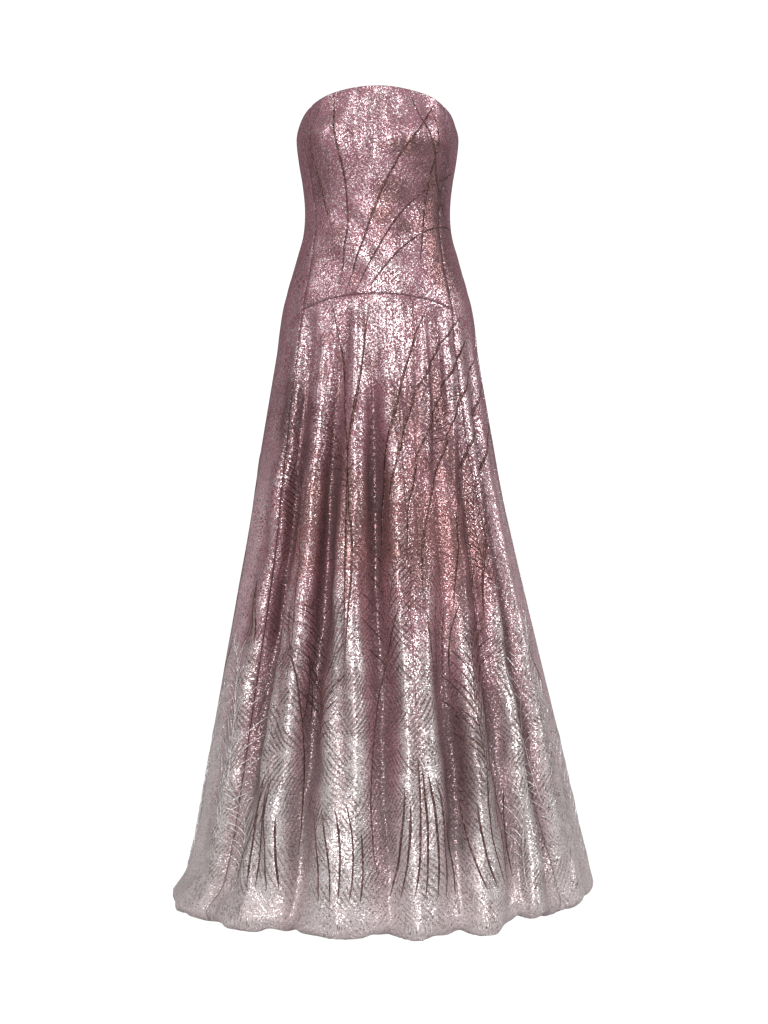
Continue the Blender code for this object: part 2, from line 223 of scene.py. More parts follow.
pale, graph = new_material("pale_floor")
seen = graph.out("ShaderNodeLightPath", "Is Camera Ray")
white = graph.out("ShaderNodeEmission", 0, None, {"Color": (1, 1, 1, 1), "Strength": WHITE_SEEN})
matt = graph.out("ShaderNodeBsdfDiffuse", 0, None, {"Color": MATT_WHITE})
graph.finish(graph.out("ShaderNodeMixShader", 0, None, {0: seen * GLOW_SHARE, 1: matt, 2: white}))
floor_mesh.materials.append(pale)

world = bpy.data.worlds.new("studio")
world.use_nodes = True
bpy.context.scene.world = world
graph = Graph(world.node_tree)
seen = graph.out("ShaderNodeLightPath", "Is Camera Ray")
strength = seen * (WHITE_SEEN - WHITE_SHED) + WHITE_SHED
sky = graph.out("ShaderNodeBackground", 0, None, {"Color": (1, 1, 1, 1), "Strength": strength})
graph.node("ShaderNodeOutputWorld", None, {"Surface": sky})

LIGHTS = table("Light", "name x y z width height watts aim_z", [
    ("main_strip", -0.84, -3.25, 0.5, 0.46, 2.4, 76, -0.4),
    ("key_box", -0.25, -3.0, 1.3, 0.6, 0.5, 10, -0.2),
    ("top_box", -0.2, -1.9, 2.4, 0.9, 0.9, 14, 0.1),
    ("right_fill", 2.3, -1.3, 1.2, 1.4, 1.6, 68, -0.5),
    ("left_fill", -2.4, -1.2, 1.2, 1.4, 1.6, 28, -0.5),
    ("back_strip", 0.72, 3.2, -0.4, 0.46, 1.0, 30, -0.5),
    ("back_key", 0.1, 3.0, 2.0, 0.9, 0.6, 34, -0.1),
])
for row in LIGHTS:
    data = bpy.data.lights.new(row.name, "AREA")
    data.shape, data.size, data.size_y, data.energy = "RECTANGLE", row.width, row.height, row.watts
    lamp = bpy.data.objects.new(row.name, data)
    lamp.location = (row.x, row.y, row.z)
    away = lamp.location.copy()
    away.z -= row.aim_z
    lamp.rotation_euler = away.to_track_quat("Z", "Y").to_euler()
    bpy.context.scene.collection.objects.link(lamp)
print("lights:", [row.name for row in LIGHTS])

# %% [markdown]
# ## The gown as one surface
#
# The gown was cut by wrapping one surface round the figure. Any place on it is an angle round
# the body (0 at the centre front, 90 at the +X side, 180 at the back) and a stage on the way
# down: 0 to 1 is the bodice, 1 to 2 the skirt, 2 to 3 the bend at the floor and 3 to 4 the hem
# that is turned under. The same sizes as in the solid model are written here again, because
# the fine shells have to lie exactly on it. Everything works on whole arrays of places.

# %% The sizes that the solids have
CLOTH = 0.002
SEAM_GAP = 0.0003
ROLL = 0.020
TURNED_UNDER = 0.034
HEM_LIFT = 0.004
BREAK_START = 0.062
BREAK = 0.006
HEM_RAISED = 0.014
RAISED_FROM, RAISED_FULL, RAISED_LAST, RAISED_TO = 31.0, 41.0, 100.0, 130.0
NECK_SIDE = 0.122
NECK_RISE_FRONT = 0.070
NECK_DROP_BACK = 0.014
DROP_SEAM_FRONT = -0.148
DROP_SEAM_FALL = 0.068
DROP_SEAM_BACK = -0.200
BUST_ANGLE, BUST_HEIGHT = 35.0, 0.108
BUST_OUT, BUST_WIDE, BUST_TALL = 0.017, 20.0, 0.050

SECTIONS = table("Section", "height half_width front back square shift", [
    (0.205, 0.13, 0.108, 0.08, 0.03, 0.0),
    (0.146, 0.1343, 0.116, 0.086, 0.035, 0.0),
    (0.122, 0.1375, 0.1195, 0.0895, 0.04, 0.0),
    (0.085, 0.1336, 0.118, 0.09, 0.04, 0.0),
    (0.045, 0.127, 0.108, 0.0855, 0.035, 0.0),
    (0.003, 0.1233, 0.0995, 0.08, 0.03, 0.0),
    (-0.037, 0.126, 0.099, 0.0815, 0.03, 0.0),
    (-0.078, 0.1369, 0.1035, 0.093, 0.03, 0.0),
    (-0.119, 0.149, 0.1085, 0.107, 0.025, 0.0),
    (-0.16, 0.1598, 0.114, 0.12, 0.02, 0.0),
    (-0.2, 0.1662, 0.121, 0.13, 0.015, 0.0),
    (-0.241, 0.1712, 0.129, 0.138, 0.01, 0.0),
    (-0.323, 0.185, 0.146, 0.154, 0.005, 0.0),
    (-0.445, 0.206, 0.17, 0.178, 0.0, 0.001),
    (-0.568, 0.229, 0.194, 0.203, 0.0, 0.005),
    (-0.731, 0.263, 0.222, 0.235, 0.0, 0.009),
    (-0.894, 0.296, 0.248, 0.267, 0.0, 0.014),
    (-1.057, 0.328, 0.272, 0.298, 0.0, 0.018),
    (-1.165, 0.344, 0.29, 0.318, 0.0, 0.016),
])

FOLDS = table("Fold", "angle_top angle_hem depth half_width", [
    (-168, -167, 0.02, 9.0), (-152, -150, 0.027, 9.5), (-141, -140, 0.007, 5.0), (-132, -130, 0.024, 9.0),
    (-114, -111, 0.02, 9.0), (-100, -97, 0.008, 6.0), (-81, -82, 0.009, 7.0), (-58, -68, 0.01, 6.5),
    (-40, -53, 0.03, 9.0), (-31, -40, 0.008, 5.0), (-22, -27, 0.028, 8.5), (-13, -13.5, 0.007, 5.0),
    (-4, 0, 0.027, 9.0), (12, 9.5, 0.009, 5.0), (31, 19, 0.027, 8.5), (48, 36, 0.025, 8.0),
    (64, 51, 0.023, 8.0), (74, 63, 0.007, 5.0), (84, 75, 0.012, 8.0), (97, 96, 0.008, 6.0),
    (112, 110, 0.021, 9.0), (130, 128, 0.026, 9.5), (140, 139, 0.007, 5.0), (150, 148, 0.024, 9.0),
    (168, 166, 0.019, 9.0),
])
MINOR = [fold for fold in FOLDS if fold.depth < 0.0105]
FOLD_AT_SEAM, FOLD_STARTS, FOLD_FULL, FOLD_GROWTH = 0.11, 0.04, 0.62, 0.8
FOLD_FADES, FOLD_AT_FLOOR = 0.86, 0.72

SPREADS = table("Spread", "angle outwards half_width", [(-92, 0.013, 28), (-55, 0.026, 24), (0, 0.005, 30)])

SEAMS = table("Seam", "height front side back", [
    (0.19, 50.0, 90.0, 131.0),
    (0.0, 57.0, 90.0, 125.0),
    (-0.17, 48.5, 90.0, 130.0),
    (-1.165, 56.0, 90.0, 128.0),
])
print(len(SECTIONS), "sections,", len(FOLDS), "folds")

# %% [markdown]
# The functions follow the solid model's own steps. First come the lines of the neckline and the
# dropped seam, the bust, the depth of the folds at any angle, and the figure: an oval, squared
# a little, whose half width and depth are read from the sections.


# %% Lines, folds and figure
def eased(t):
    t = np.clip(t, 0.0, 1.0)
    return t * t * (3.0 - 2.0 * t)


def bell(x):
    """1 at 0, and soon nothing on either side."""
    return np.exp(-x * x)


def read(rows, column, height):
    """A column of a table at any height, on a smooth curve through its rows."""
    heights = np.array([row.height for row in rows])[::-1]
    values = np.array([getattr(row, column) for row in rows])[::-1]
    slopes = np.empty(len(values))
    slopes[1:-1] = (values[2:] - values[:-2]) / (heights[2:] - heights[:-2])
    slopes[0] = (values[1] - values[0]) / (heights[1] - heights[0])
    slopes[-1] = (values[-1] - values[-2]) / (heights[-1] - heights[-2])
    height = np.clip(height, heights[0], heights[-1])
    i = np.clip(np.searchsorted(heights, height) - 1, 0, len(heights) - 2)
    span = heights[i + 1] - heights[i]
    t = (height - heights[i]) / span
    t2, t3 = t * t, t * t * t
    return (
        (2 * t3 - 3 * t2 + 1) * values[i]
        + (t3 - 2 * t2 + t) * slopes[i] * span
        + (3 * t2 - 2 * t3) * values[i + 1]
        + (t3 - t2) * slopes[i + 1] * span
    )


def turn_between(a, b):
    return (a - b + 180.0) % 360.0 - 180.0


def neckline(angle):
    forward = np.cos(np.radians(angle))
    front = NECK_SIDE + NECK_RISE_FRONT * np.maximum(forward, 0.0) ** 0.9
    return np.where(forward > 0, front, NECK_SIDE + NECK_DROP_BACK * forward)


def dropped_seam(angle):
    forward = np.cos(np.radians(angle))
    side = DROP_SEAM_FRONT - DROP_SEAM_FALL
    back = side - (DROP_SEAM_BACK - side) * forward
    return np.where(forward > 0, side + DROP_SEAM_FALL * forward, back)


def bust(angle, height):
    across = (np.abs(turn_between(angle, 0)) - BUST_ANGLE) / BUST_WIDE
    up = (height - BUST_HEIGHT) / BUST_TALL
    return BUST_OUT * np.exp(-across * across - up * up)


def fold_depth(angle, down, folds=FOLDS):
    growth = FOLD_AT_SEAM * eased(down / FOLD_STARTS)
    growth = growth + (1.0 - FOLD_AT_SEAM) * eased(down / FOLD_FULL) ** FOLD_GROWTH
    growth = growth * (1.0 - (1.0 - FOLD_AT_FLOOR) * eased((down - FOLD_FADES) / (1 - FOLD_FADES)))
    total = np.zeros(np.broadcast(angle, down).shape)
    for fold in folds:
        centre = fold.angle_top + (fold.angle_hem - fold.angle_top) * down
        away = np.minimum(np.abs(turn_between(angle, centre)) / fold.half_width, 1.0)
        total = total + fold.depth * 0.5 * (1.0 + np.cos(np.pi * away))
    return np.where(down > 0, total * growth, 0.0)


def figure(angle, height, outwards):
    turn = np.radians(angle)
    front, back = read(SECTIONS, "front", height), read(SECTIONS, "back", height)
    depth = np.where(np.cos(turn) > 0, front, back)
    wide = read(SECTIONS, "half_width", height)
    fuller = 1.0 + read(SECTIONS, "square", height) * np.sin(2 * turn) ** 2
    x, y = wide * np.sin(turn) * fuller, -depth * np.cos(turn) * fuller
    across, along = x / wide**2, y / depth**2
    length = np.hypot(across, along)
    x = x + outwards * across / length + read(SECTIONS, "shift", height)
    y = y + outwards * along / length
    return np.stack([x, y, height + 0.0 * x], axis=-1)


print("deepest fold at the hem: %.1f mm" % (1000 * fold_depth(np.arange(360.0), 1.0).max()))

# %% [markdown]
# With these, one function gives the place of any point on the cloth: a height between the two
# lines above and below it, a distance outwards, and the quarter turn at the floor.


# %% Places on the cloth
def raised(angle):
    there = eased((angle - RAISED_FROM) / (RAISED_FULL - RAISED_FROM))
    return HEM_RAISED * there * eased((RAISED_TO - angle) / (RAISED_TO - RAISED_LAST))


def spread(angle, height):
    outwards = BREAK
    for row in SPREADS:
        away = turn_between(angle, row.angle) / row.half_width
        outwards = outwards + row.outwards * bell(away)
    return outwards * eased((FLOOR + BREAK_START - height) / BREAK_START)


def cloth(angle, stage):
    """Places on the outside of the gown, as the solids have it."""
    angle, stage = np.broadcast_arrays(turn_between(np.asarray(angle, float), 0.0), stage)
    top, seam, bend = neckline(angle), dropped_seam(angle), FLOOR + ROLL + raised(angle)
    bodice = stage <= 1
    down = np.clip(stage - 1.0, 0.0, 1.0)
    height = np.where(bodice, top + (seam - top) * stage, seam + (bend - seam) * down)
    outwards = np.where(bodice, bust(angle, height), spread(angle, height - raised(angle)))
    outwards = outwards - np.where(bodice, 0.0, fold_depth(angle, down))
    turn = math.pi / 2 * np.clip(stage - 2.0, 0.0, 1.0)
    outwards = outwards - ROLL * (1.0 - np.cos(turn))
    under = np.clip(stage - 3.0, 0.0, 1.0)
    outwards = outwards - TURNED_UNDER * under
    place = figure(angle, height, outwards)
    place[..., 2] = height - ROLL * np.sin(turn) + HEM_LIFT * eased(under)
    return place


def outward(angle, stage):
    """The direction in which the cloth faces, from neighbouring places."""
    turn, step = 0.4, 0.012
    across = cloth(angle + turn, stage) - cloth(angle - turn, stage)
    lower, upper = np.minimum(4.0, stage + step), np.maximum(0.0, stage - step)
    normal = np.cross(cloth(angle, lower) - cloth(angle, upper), across)
    return normal / np.linalg.norm(normal, axis=-1, keepdims=True)


def seam_angle(which, side, stage):
    if which == "centre_back":
        return 180.0 * side + 0.0 * stage
    height = cloth(side * 90.0 + 0.0 * stage, stage)[..., 2]
    return side * read(SEAMS, which, height)


waist = cloth(np.arange(361.0), 0.45)
print("waist girth %.3f m" % np.linalg.norm(np.diff(waist, axis=0), axis=1).sum())

# %% [markdown]
# ## Creases
#
# A worn gown is never as even as its pattern. The cloth is gathered a little under the
# dropped waist, where wide soft folds begin, pulls in soft diagonal lines above the hips,
# puffs where it meets the floor and is pinched between the puffs. Each of these is a row in a
# table: where it begins and ends, how deep it is in millimetres (a minus sign makes it a
# ridge) and how wide. They are pressed into the surface along its outward direction, as soft
# troughs whose ends fade out. Waves in fixed directions add a little unevenness, and nothing
# is pressed through the floor.

# %% The crease table
MM = 0.001
CREASES = table("Crease", "angle stage angle_end stage_end depth width", [
    # gathers below the dropped waist, in front
    (-44, 1.005, -45, 1.14, 3.1, 8), (-36, 1.005, -37, 1.21, -2.8, 8), (-28, 1.004, -27, 1.18, 3.5, 7),
    (-25, 1.01, -24, 1.25, -3.1, 7), (-17, 1.006, -16, 1.14, 2.8, 7), (-13, 1.004, -12, 1.29, -3.5, 8),
    (-7, 1.004, -8, 1.17, 2.4, 6), (4, 1.004, 3, 1.26, -3.9, 10), (9, 1.006, 9, 1.16, 2.8, 6),
    (16, 1.004, 15, 1.31, -3.3, 8), (22, 1.004, 22, 1.19, 3.3, 7), (27, 1.008, 25, 1.24, -2.8, 7),
    (36, 1.004, 36, 1.22, 3.7, 8), (41, 1.01, 40, 1.33, -3.5, 8),
    # the same behind
    (-176, 1.02, -175, 1.19, -2.6, 7), (-165, 1.004, -164, 1.22, 3.0, 8),
    (-157, 1.004, -156, 1.27, -3.1, 9), (-147, 1.004, -146, 1.17, 2.8, 7),
    (-139, 1.004, -138, 1.25, -3.0, 8), (139, 1.004, 139, 1.21, 3.0, 8), (146, 1.004, 145, 1.29, -3.3, 8),
    (154, 1.004, 154, 1.16, 2.8, 7), (161, 1.004, 160, 1.24, -3.0, 8), (172, 1.02, 171, 1.18, 2.6, 7),
    # wide soft folds that run on from there
    (-47, 1.01, -52, 1.66, -6.0, 17), (-38, 1.02, -43, 1.62, 5.0, 15), (-29, 1.01, -33, 1.7, -6.5, 18),
    (-19, 1.03, -22, 1.6, 5.5, 15), (-10, 1.08, -11, 1.72, -6.0, 17), (0, 1.1, 0, 1.64, 5.0, 14),
    (9, 1.06, 8, 1.7, -6.5, 17), (19, 1.02, 16, 1.62, 5.5, 15), (28, 1.01, 24, 1.72, -6.0, 18),
    (37, 1.02, 31, 1.6, 5.0, 15), (47, 1.01, 41, 1.68, -6.0, 17),
    # narrower ones beside them
    (-34, 1.04, -38, 1.36, 2.4, 7), (-14, 1.05, -16, 1.44, 2.2, 7), (13, 1.04, 12, 1.4, 2.4, 7),
    (33, 1.05, 28, 1.46, 2.2, 7),
    # soft upright folds over the bust, and slanting ones that end in the dropped waist
    (-16, 0.02, -14, 0.34, 1.6, 5), (-9, 0.02, -7, 0.3, -2.2, 9), (-2, 0.01, -3, 0.4, 2.4, 5),
    (6, 0.02, 5, 0.3, -2.0, 8), (13, 0.02, 15, 0.42, 2.2, 5), (21, 0.06, 22, 0.44, -2.0, 9),
    (28, 0.08, 28, 0.4, 1.5, 5), (-33, 0.66, 6, 0.93, -3.4, 14), (-36, 0.76, -2, 0.97, 2.8, 8),
    (-30, 0.57, 14, 0.85, 2.4, 9), (-24, 0.52, 24, 0.8, -1.8, 10), (34, 0.8, 20, 0.96, -2.2, 10),
    # soft pulls over the hips and the waist
    (-88, 0.72, -60, 0.6, 0.9, 9), (-92, 0.82, -66, 0.73, 0.8, 8), (88, 0.7, 62, 0.58, 0.9, 9),
    (93, 0.8, 64, 0.74, 0.8, 8), (-70, 0.5, -46, 0.46, 0.8, 7), (72, 0.52, 44, 0.45, 0.8, 7),
    (-12, 0.6, -34, 0.78, 0.7, 9), (14, 0.66, 38, 0.84, 0.7, 9), (122, 0.58, 150, 0.66, 0.9, 9),
    (-124, 0.6, -152, 0.68, 0.9, 9), (118, 0.42, 146, 0.47, 0.7, 7), (-116, 0.44, -148, 0.48, 0.7, 7),
    # long soft breaks on the skirt's crests
    (-46, 1.3, -49, 1.62, 1.8, 10), (-62, 1.22, -66, 1.7, 2.2, 13), (-34, 1.4, -36, 1.88, 2.2, 11),
    (-17, 1.3, -20, 1.58, -1.8, 9), (-17, 1.62, -19, 1.9, 2.2, 10), (-8, 1.35, -7, 1.74, 1.8, 9),
    (5, 1.42, 4.5, 1.86, 2.0, 10), (13, 1.3, 14, 1.6, -1.8, 9), (27, 1.34, 27, 1.72, 2.0, 9),
    (29, 1.66, 28, 1.94, -2.2, 11), (43, 1.4, 43, 1.86, 2.0, 10), (57, 1.3, 57, 1.8, 1.8, 10),
    (-75, 1.3, -76, 1.85, -2.0, 14), (-91, 1.24, -90, 1.8, 2.2, 14), (70, 1.36, 69, 1.84, -1.8, 12),
    (90, 1.22, 86, 1.74, 2.0, 14), (103, 1.3, 102, 1.84, 2.0, 11), (120, 1.26, 118, 1.7, 2.0, 10),
    (158, 1.34, 157, 1.86, 2.2, 10), (177, 1.24, 176, 1.82, -1.8, 10), (-106, 1.3, -104, 1.8, 2.0, 11),
    (-122, 1.24, -120, 1.84, 2.0, 10), (-160, 1.3, -158, 1.78, 2.2, 10),
    (-177, 1.36, -176, 1.88, 1.8, 10),
    # slanting drags between the folds
    (-58, 1.52, -46, 1.6, 1.5, 9), (-30, 1.56, -19, 1.62, 1.4, 8), (6, 1.6, 16, 1.53, 1.4, 8),
    (24, 1.8, 33, 1.73, 1.6, 9), (-10, 1.8, -2, 1.86, 1.6, 9), (60, 1.66, 72, 1.72, 1.5, 10),
    (-84, 1.6, -70, 1.67, 1.5, 10), (100, 1.56, 114, 1.5, 1.5, 10), (-118, 1.58, -104, 1.52, 1.5, 10),
    (150, 1.62, 162, 1.68, 1.5, 10), (-164, 1.66, -150, 1.6, 1.5, 10),
])

PUFFS = table("Puff", "angle stage outwards wide tall", [
    (-84, 1.955, 5.0, 34, 36), (-66, 1.965, 5.0, 32, 34), (-45, 1.945, 6.0, 40, 42),
    (-27, 1.955, -7.0, 11, 70), (-15, 1.96, 5.0, 38, 40), (-4, 1.975, -4.0, 10, 44),
    (7, 1.965, 5.5, 40, 42), (21, 1.97, -4.0, 10, 44), (30, 1.96, 6.0, 42, 40), (40, 1.95, -7.0, 10, 80),
    (50, 1.96, 5.0, 38, 40), (66, 1.965, 5.5, 38, 36), (86, 1.96, 5.0, 36, 36), (104, 1.965, 5.0, 36, 36),
    (128, 1.955, -6.0, 11, 60), (139, 1.96, 5.0, 38, 38), (160, 1.965, 5.0, 38, 38),
    (176, 1.955, -5.0, 11, 50), (-158, 1.96, 5.0, 38, 38), (-140, 1.955, -6.0, 11, 60),
    (-122, 1.965, 5.0, 38, 38), (-103, 1.96, 4.0, 34, 36),
])
print(len(CREASES), "creases,", len(PUFFS), "puffs and pinches")

# %% [markdown]
# Distances matter here, not angles, so a degree and a stage are first turned into metres. The
# flat layout is used for everything that varies gently and without a pattern of its own.


# %% Distances and unevenness
def metres_per_degree(stage):
    """How far one degree is round the gown, on average at this stage."""
    at = [0.0, 0.3, 0.45, 0.7, 1.0, 1.25, 1.5, 1.75, 2.0, 4.0]
    girths = [0.800, 0.775, 0.684, 0.790, 0.945, 1.090, 1.390, 1.720, 2.060, 2.000]
    return np.interp(stage, at, girths) / 360.0


BODICE_LONG, SKIRT_LONG, BEND_LONG = 0.325, 0.965, 0.033


def metres_per_stage(stage):
    return np.where(stage <= 1, BODICE_LONG, np.where(stage <= 2, SKIRT_LONG, BEND_LONG))


BEHIND = 3.7


def laid_out(angle, stage):
    """The same places laid flat, in metres: a front and a back half side by side."""
    behind = np.abs(angle) > 90.0
    across = np.where(behind, turn_between(angle, 180.0), angle) * metres_per_degree(stage)
    skirt, hem = np.clip(stage - 1.0, 0.0, 1.0), np.maximum(stage - 2.0, 0.0)
    down = BODICE_LONG * np.minimum(stage, 1.0) + SKIRT_LONG * skirt + BEND_LONG * hem
    return across + BEHIND * behind, down


def off_side_seam(angle, width):
    """Nothing on the side seam, where the two halves meet, and 1 away from it."""
    return 1.0 - bell((np.abs(angle) - 90.0) / width)


def ripple(u, v, waves):
    """A gentle unevenness, as a few plain waves with fixed directions."""
    total = 0.0
    for length, direction, phase in waves:
        k = 2 * math.pi / length
        turn = math.radians(direction)
        total = total + np.sin(k * (u * math.cos(turn) + v * math.sin(turn)) + phase)
    return total / len(waves)


DRAPE_WAVES = [(0.112, 4, 0.7), (0.083, -9, 2.9), (0.064, 11, 5.1)]
DRAPE_WAVES += [(0.092, 14, 1.3), (0.053, -5, 3.6), (0.071, -15, 0.2)]
LONG_WAVES = [(0.061, 12, 0.3), (0.083, 164, 2.1), (0.047, 35, 4.4), (0.109, 80, 1.2), (0.071, 118, 5.2)]
SHORT_WAVES = [(0.019, 20, 1.1), (0.023, 141, 3.7), (0.0165, 68, 0.4), (0.027, 97, 2.8), (0.021, 172, 5.5)]
DRAPE_HIGH, LONG_HIGH, SHORT_HIGH = 8.5 * MM, 2.4 * MM, 0.22 * MM
print("a degree at the hem: %.2f mm" % (metres_per_degree(2.0) / MM))

# %% [markdown]
# Each crease lowers the cloth around its line, with a bell-shaped section. The bottoms of the
# large folds are narrowed, the smallest ones are filled again, every seam gets a shallow dip,
# and the cloth beside the zip stays calm.

# %% Pressing the creases in
VALLEY_DEEP, MINOR_FILLED = 0.007, 0.85
ZIP_CALM = 0.022
SEAM_DEEP, SEAM_WIDE, SEAM_BARE = 0.9 * MM, 2.4 * MM, 2.2 * MM


def valleys(angle, stage):
    """How deep in the narrow bottom of a fold a place is, from 0 to about 1."""
    down, wide = np.clip(stage - 1.0, 0.0, 1.0), metres_per_degree(stage)
    total = np.zeros(angle.shape)
    for fold in FOLDS:
        centre = fold.angle_top + (fold.angle_hem - fold.angle_top) * down
        off = turn_between(angle, centre) * wide / (0.012 * (0.6 + 0.5 * down))
        uneven = 0.65 + 0.35 * np.sin(7.0 * down + 1.7 * fold.angle_hem)
        total = total + fold.depth / 0.027 * uneven * np.exp(-(np.abs(off) ** 1.6))
    return total * eased(down / 0.35) * (1.0 - 0.6 * eased((down - 0.9) / 0.1))


def relief(angle, stage):
    """How far the creases lift the cloth, in metres. Along the zip it stays nearly flat."""
    angle = turn_between(angle, 0.0)
    wide, tall = metres_per_degree(stage), metres_per_stage(stage)
    total = np.zeros(angle.shape)
    for row in CREASES:
        ax, ay = turn_between(angle, row.angle) * wide, (stage - row.stage) * tall
        bx = (row.angle_end - row.angle) * wide
        by = (row.stage_end - row.stage) * tall
        along = np.clip((ax * bx + ay * by) / (bx * bx + by * by), 0.0, 1.0)
        off = np.hypot(ax - along * bx, ay - along * by) / (row.width * MM)
        fade = eased(along / 0.25 + 0.25) * eased((1 - along) / 0.35 + 0.05)
        total = total - row.depth * MM * fade * bell(off)
    for row in PUFFS:
        ax = turn_between(angle, row.angle) * wide / (row.wide * MM)
        ay = np.minimum(stage - row.stage, 0.0) * tall + np.maximum(stage - 2.0, 0.0) * BEND_LONG
        total = total + row.outwards * MM * np.exp(-ax * ax - (ay / (row.tall * MM)) ** 2)
    total = total - VALLEY_DEEP * valleys(angle, stage)
    total = total + MINOR_FILLED * fold_depth(angle, stage - 1.0, MINOR)
    u, v = laid_out(angle, stage)
    meets = off_side_seam(angle, 9.0)
    skirt = eased((stage - 1.0) / 0.15)
    side = eased((np.abs(angle) - 46.0) / 24.0) * eased((134.0 - np.abs(angle)) / 24.0)
    drape = eased((stage - 1.0) / 0.30) * (1.0 - 0.75 * side)
    total = total + meets * drape * DRAPE_HIGH * ripple(u, v, DRAPE_WAVES)
    skirt = skirt * (1.0 - 0.7 * side)
    total = total + meets * (0.60 + 0.40 * skirt) * LONG_HIGH * ripple(u, v, LONG_WAVES)
    total = total + meets * (0.55 + 0.45 * skirt) * SHORT_HIGH * ripple(u, v, SHORT_WAVES)
    zipped = bell((180.0 - np.abs(angle)) * wide / ZIP_CALM)
    zipped = zipped * (1.0 - eased((stage - 1.02) / 0.12))
    return total * (1.0 - eased(stage - 3.0)) * (1.0 - 0.85 * zipped) + seam_dip(angle, stage)


def beside_seam(angle, stage):
    """How far the nearest seam is, in metres."""
    wide, tall = metres_per_degree(stage), metres_per_stage(stage)
    near = np.full(angle.shape, 1.0)
    height = cloth(np.full(angle.shape, 90.0), stage)[..., 2]
    for which in ("front", "side", "back"):
        off = np.abs(np.abs(angle) - read(SEAMS, which, height)) * wide
        near = np.minimum(near, off)
    near = np.minimum(near, (180.0 - np.abs(angle)) * wide)
    middle = np.abs(angle) < read(SEAMS, "front", height)
    behind = np.abs(angle) > read(SEAMS, "back", height)
    waist = np.abs(stage - 1.0) * tall
    return np.where(middle | behind, np.minimum(near, waist), near)


def seam_dip(angle, stage):
    """The cloth sinks a little along every seam."""
    return -SEAM_DEEP * bell(beside_seam(angle, stage) / SEAM_WIDE)


def dressed(angle, stage):
    """Places on the creased cloth, never below the floor, and its outward direction."""
    normal, plain = outward(angle, stage), cloth(angle, stage)
    depth = relief(angle, stage)
    room = np.maximum(plain[..., 2] - FLOOR, 0.0) / np.maximum(np.abs(normal[..., 2]), 1e-6)
    depth = np.where(normal[..., 2] < 0, np.minimum(depth, room), np.maximum(depth, -room))
    return plain + normal * depth[..., None], normal


shown = relief(np.zeros(3), np.array([0.5, 1.1, 1.9]))
print("relief at the centre front:", np.round(shown / MM, 2), "mm")

# %% [markdown]
# ## Colour that changes over the gown
#
# The sequins go from dusty mauve on the bodice over a rosy, rust-flecked middle to silver, and
# thin out to pale net at the hem and low down at the sides, where the paler net is partly a
# painted sheen. Pale sequins on the crests of folds and creases are a painted highlight. The wine
# red sequins in the hollows, fewer there and over darker net, are painted shade. Along the seams
# the sequins are thinner. Such slow changes are easiest to paint on the points of the mesh: one
# colour for most sequins and one for those strewn between them, each with its share, and one for
# the net behind. The quick changes, from sequin to sequin, come from the shader.

# %% Colours and patches
MAUVE = np.array([0.430, 0.290, 0.322])
ROSE = np.array([0.440, 0.262, 0.285])
RUST = np.array([0.265, 0.118, 0.104])
BRONZE = np.array([0.180, 0.088, 0.078])
SILVER = np.array([0.690, 0.640, 0.625])
WINE = np.array([0.190, 0.078, 0.085])
SMOKE = np.array([0.165, 0.125, 0.115])
TAUPE = np.array([0.330, 0.270, 0.260])
PEARL = np.array([0.780, 0.690, 0.705])
NET_MAUVE = np.array([0.190, 0.058, 0.084])
NET_PINK = np.array([0.228, 0.084, 0.108])
NET_RUST = np.array([0.165, 0.034, 0.024])
NET_SIDE = np.array([0.390, 0.250, 0.280])
NET_PALE = np.array([0.405, 0.335, 0.340])
DARK_GREEN = 0.16  # a patch whose tint has less green than this is a dark one

# The PEARL patches are painted highlights and sheen: pale sequins where the bodice and the skirt catch the
# light. The WINE patch at 48 degrees, under the bust on the +X side, is painted shade.
PATCHES = table("Patch", "angle height wide tall tint strength", [
    (27, 0.09, 0.052, 0.017, BRONZE, 0.95), (36, 0.062, 0.03, 0.015, RUST, 0.85),
    (12, 0.02, 0.03, 0.026, BRONZE, 0.9), (4, -0.018, 0.024, 0.018, RUST, 0.8),
    (20, -0.036, 0.022, 0.014, BRONZE, 0.8), (48, -0.01, 0.04, 0.1, WINE, 0.95),
    (50, -0.105, 0.036, 0.05, RUST, 0.8), (-34, -0.06, 0.026, 0.03, BRONZE, 0.5),
    (-44, 0.06, 0.03, 0.06, BRONZE, 0.4), (-14, 0.124, 0.034, 0.03, PEARL, 0.35),
    (3, 0.16, 0.03, 0.03, PEARL, 0.6), (-8, -0.082, 0.034, 0.018, PEARL, 0.7),
    (9, -0.118, 0.036, 0.024, PEARL, 0.75), (3, -0.215, 0.055, 0.08, PEARL, 0.8),
    (-33, -0.3, 0.03, 0.06, PEARL, 0.35), (-58, -0.33, 0.08, 0.18, PEARL, 0.75),
    (60, -0.34, 0.08, 0.2, PEARL, 0.85), (80, -0.56, 0.1, 0.15, PEARL, 0.65),
    (-82, -0.56, 0.1, 0.15, PEARL, 0.45), (24, -0.33, 0.034, 0.06, RUST, 0.6),
    (10, -0.345, 0.018, 0.05, BRONZE, 0.85), (-49, -0.345, 0.026, 0.06, BRONZE, 0.85),
    (-38, -0.42, 0.02, 0.05, WINE, 0.8), (40, -0.43, 0.022, 0.06, WINE, 0.8),
    (-8, -0.5, 0.08, 0.08, RUST, 0.6), (12, -0.56, 0.09, 0.07, RUST, 0.45),
    (-30, -0.48, 0.05, 0.07, RUST, 0.55), (38, -0.6, 0.05, 0.08, RUST, 0.35),
    (28, -0.88, 0.026, 0.1, RUST, 0.75), (-25, -0.87, 0.03, 0.08, ROSE, 0.6),
    (-52, -0.33, 0.04, 0.06, BRONZE, 0.45), (100, -0.45, 0.08, 0.11, RUST, 0.25),
    (-105, -0.48, 0.08, 0.11, RUST, 0.25), (160, -0.5, 0.11, 0.1, RUST, 0.8),
    (-160, -0.54, 0.11, 0.1, RUST, 0.8), (150, 0.03, 0.05, 0.04, BRONZE, 0.5),
    (-140, -0.06, 0.05, 0.05, BRONZE, 0.45), (170, -0.23, 0.06, 0.08, PEARL, 0.5),
])
BLOTCHES = [(0.090, 25, 0.4), (0.061, 78, 2.6), (0.047, 131, 4.9)]
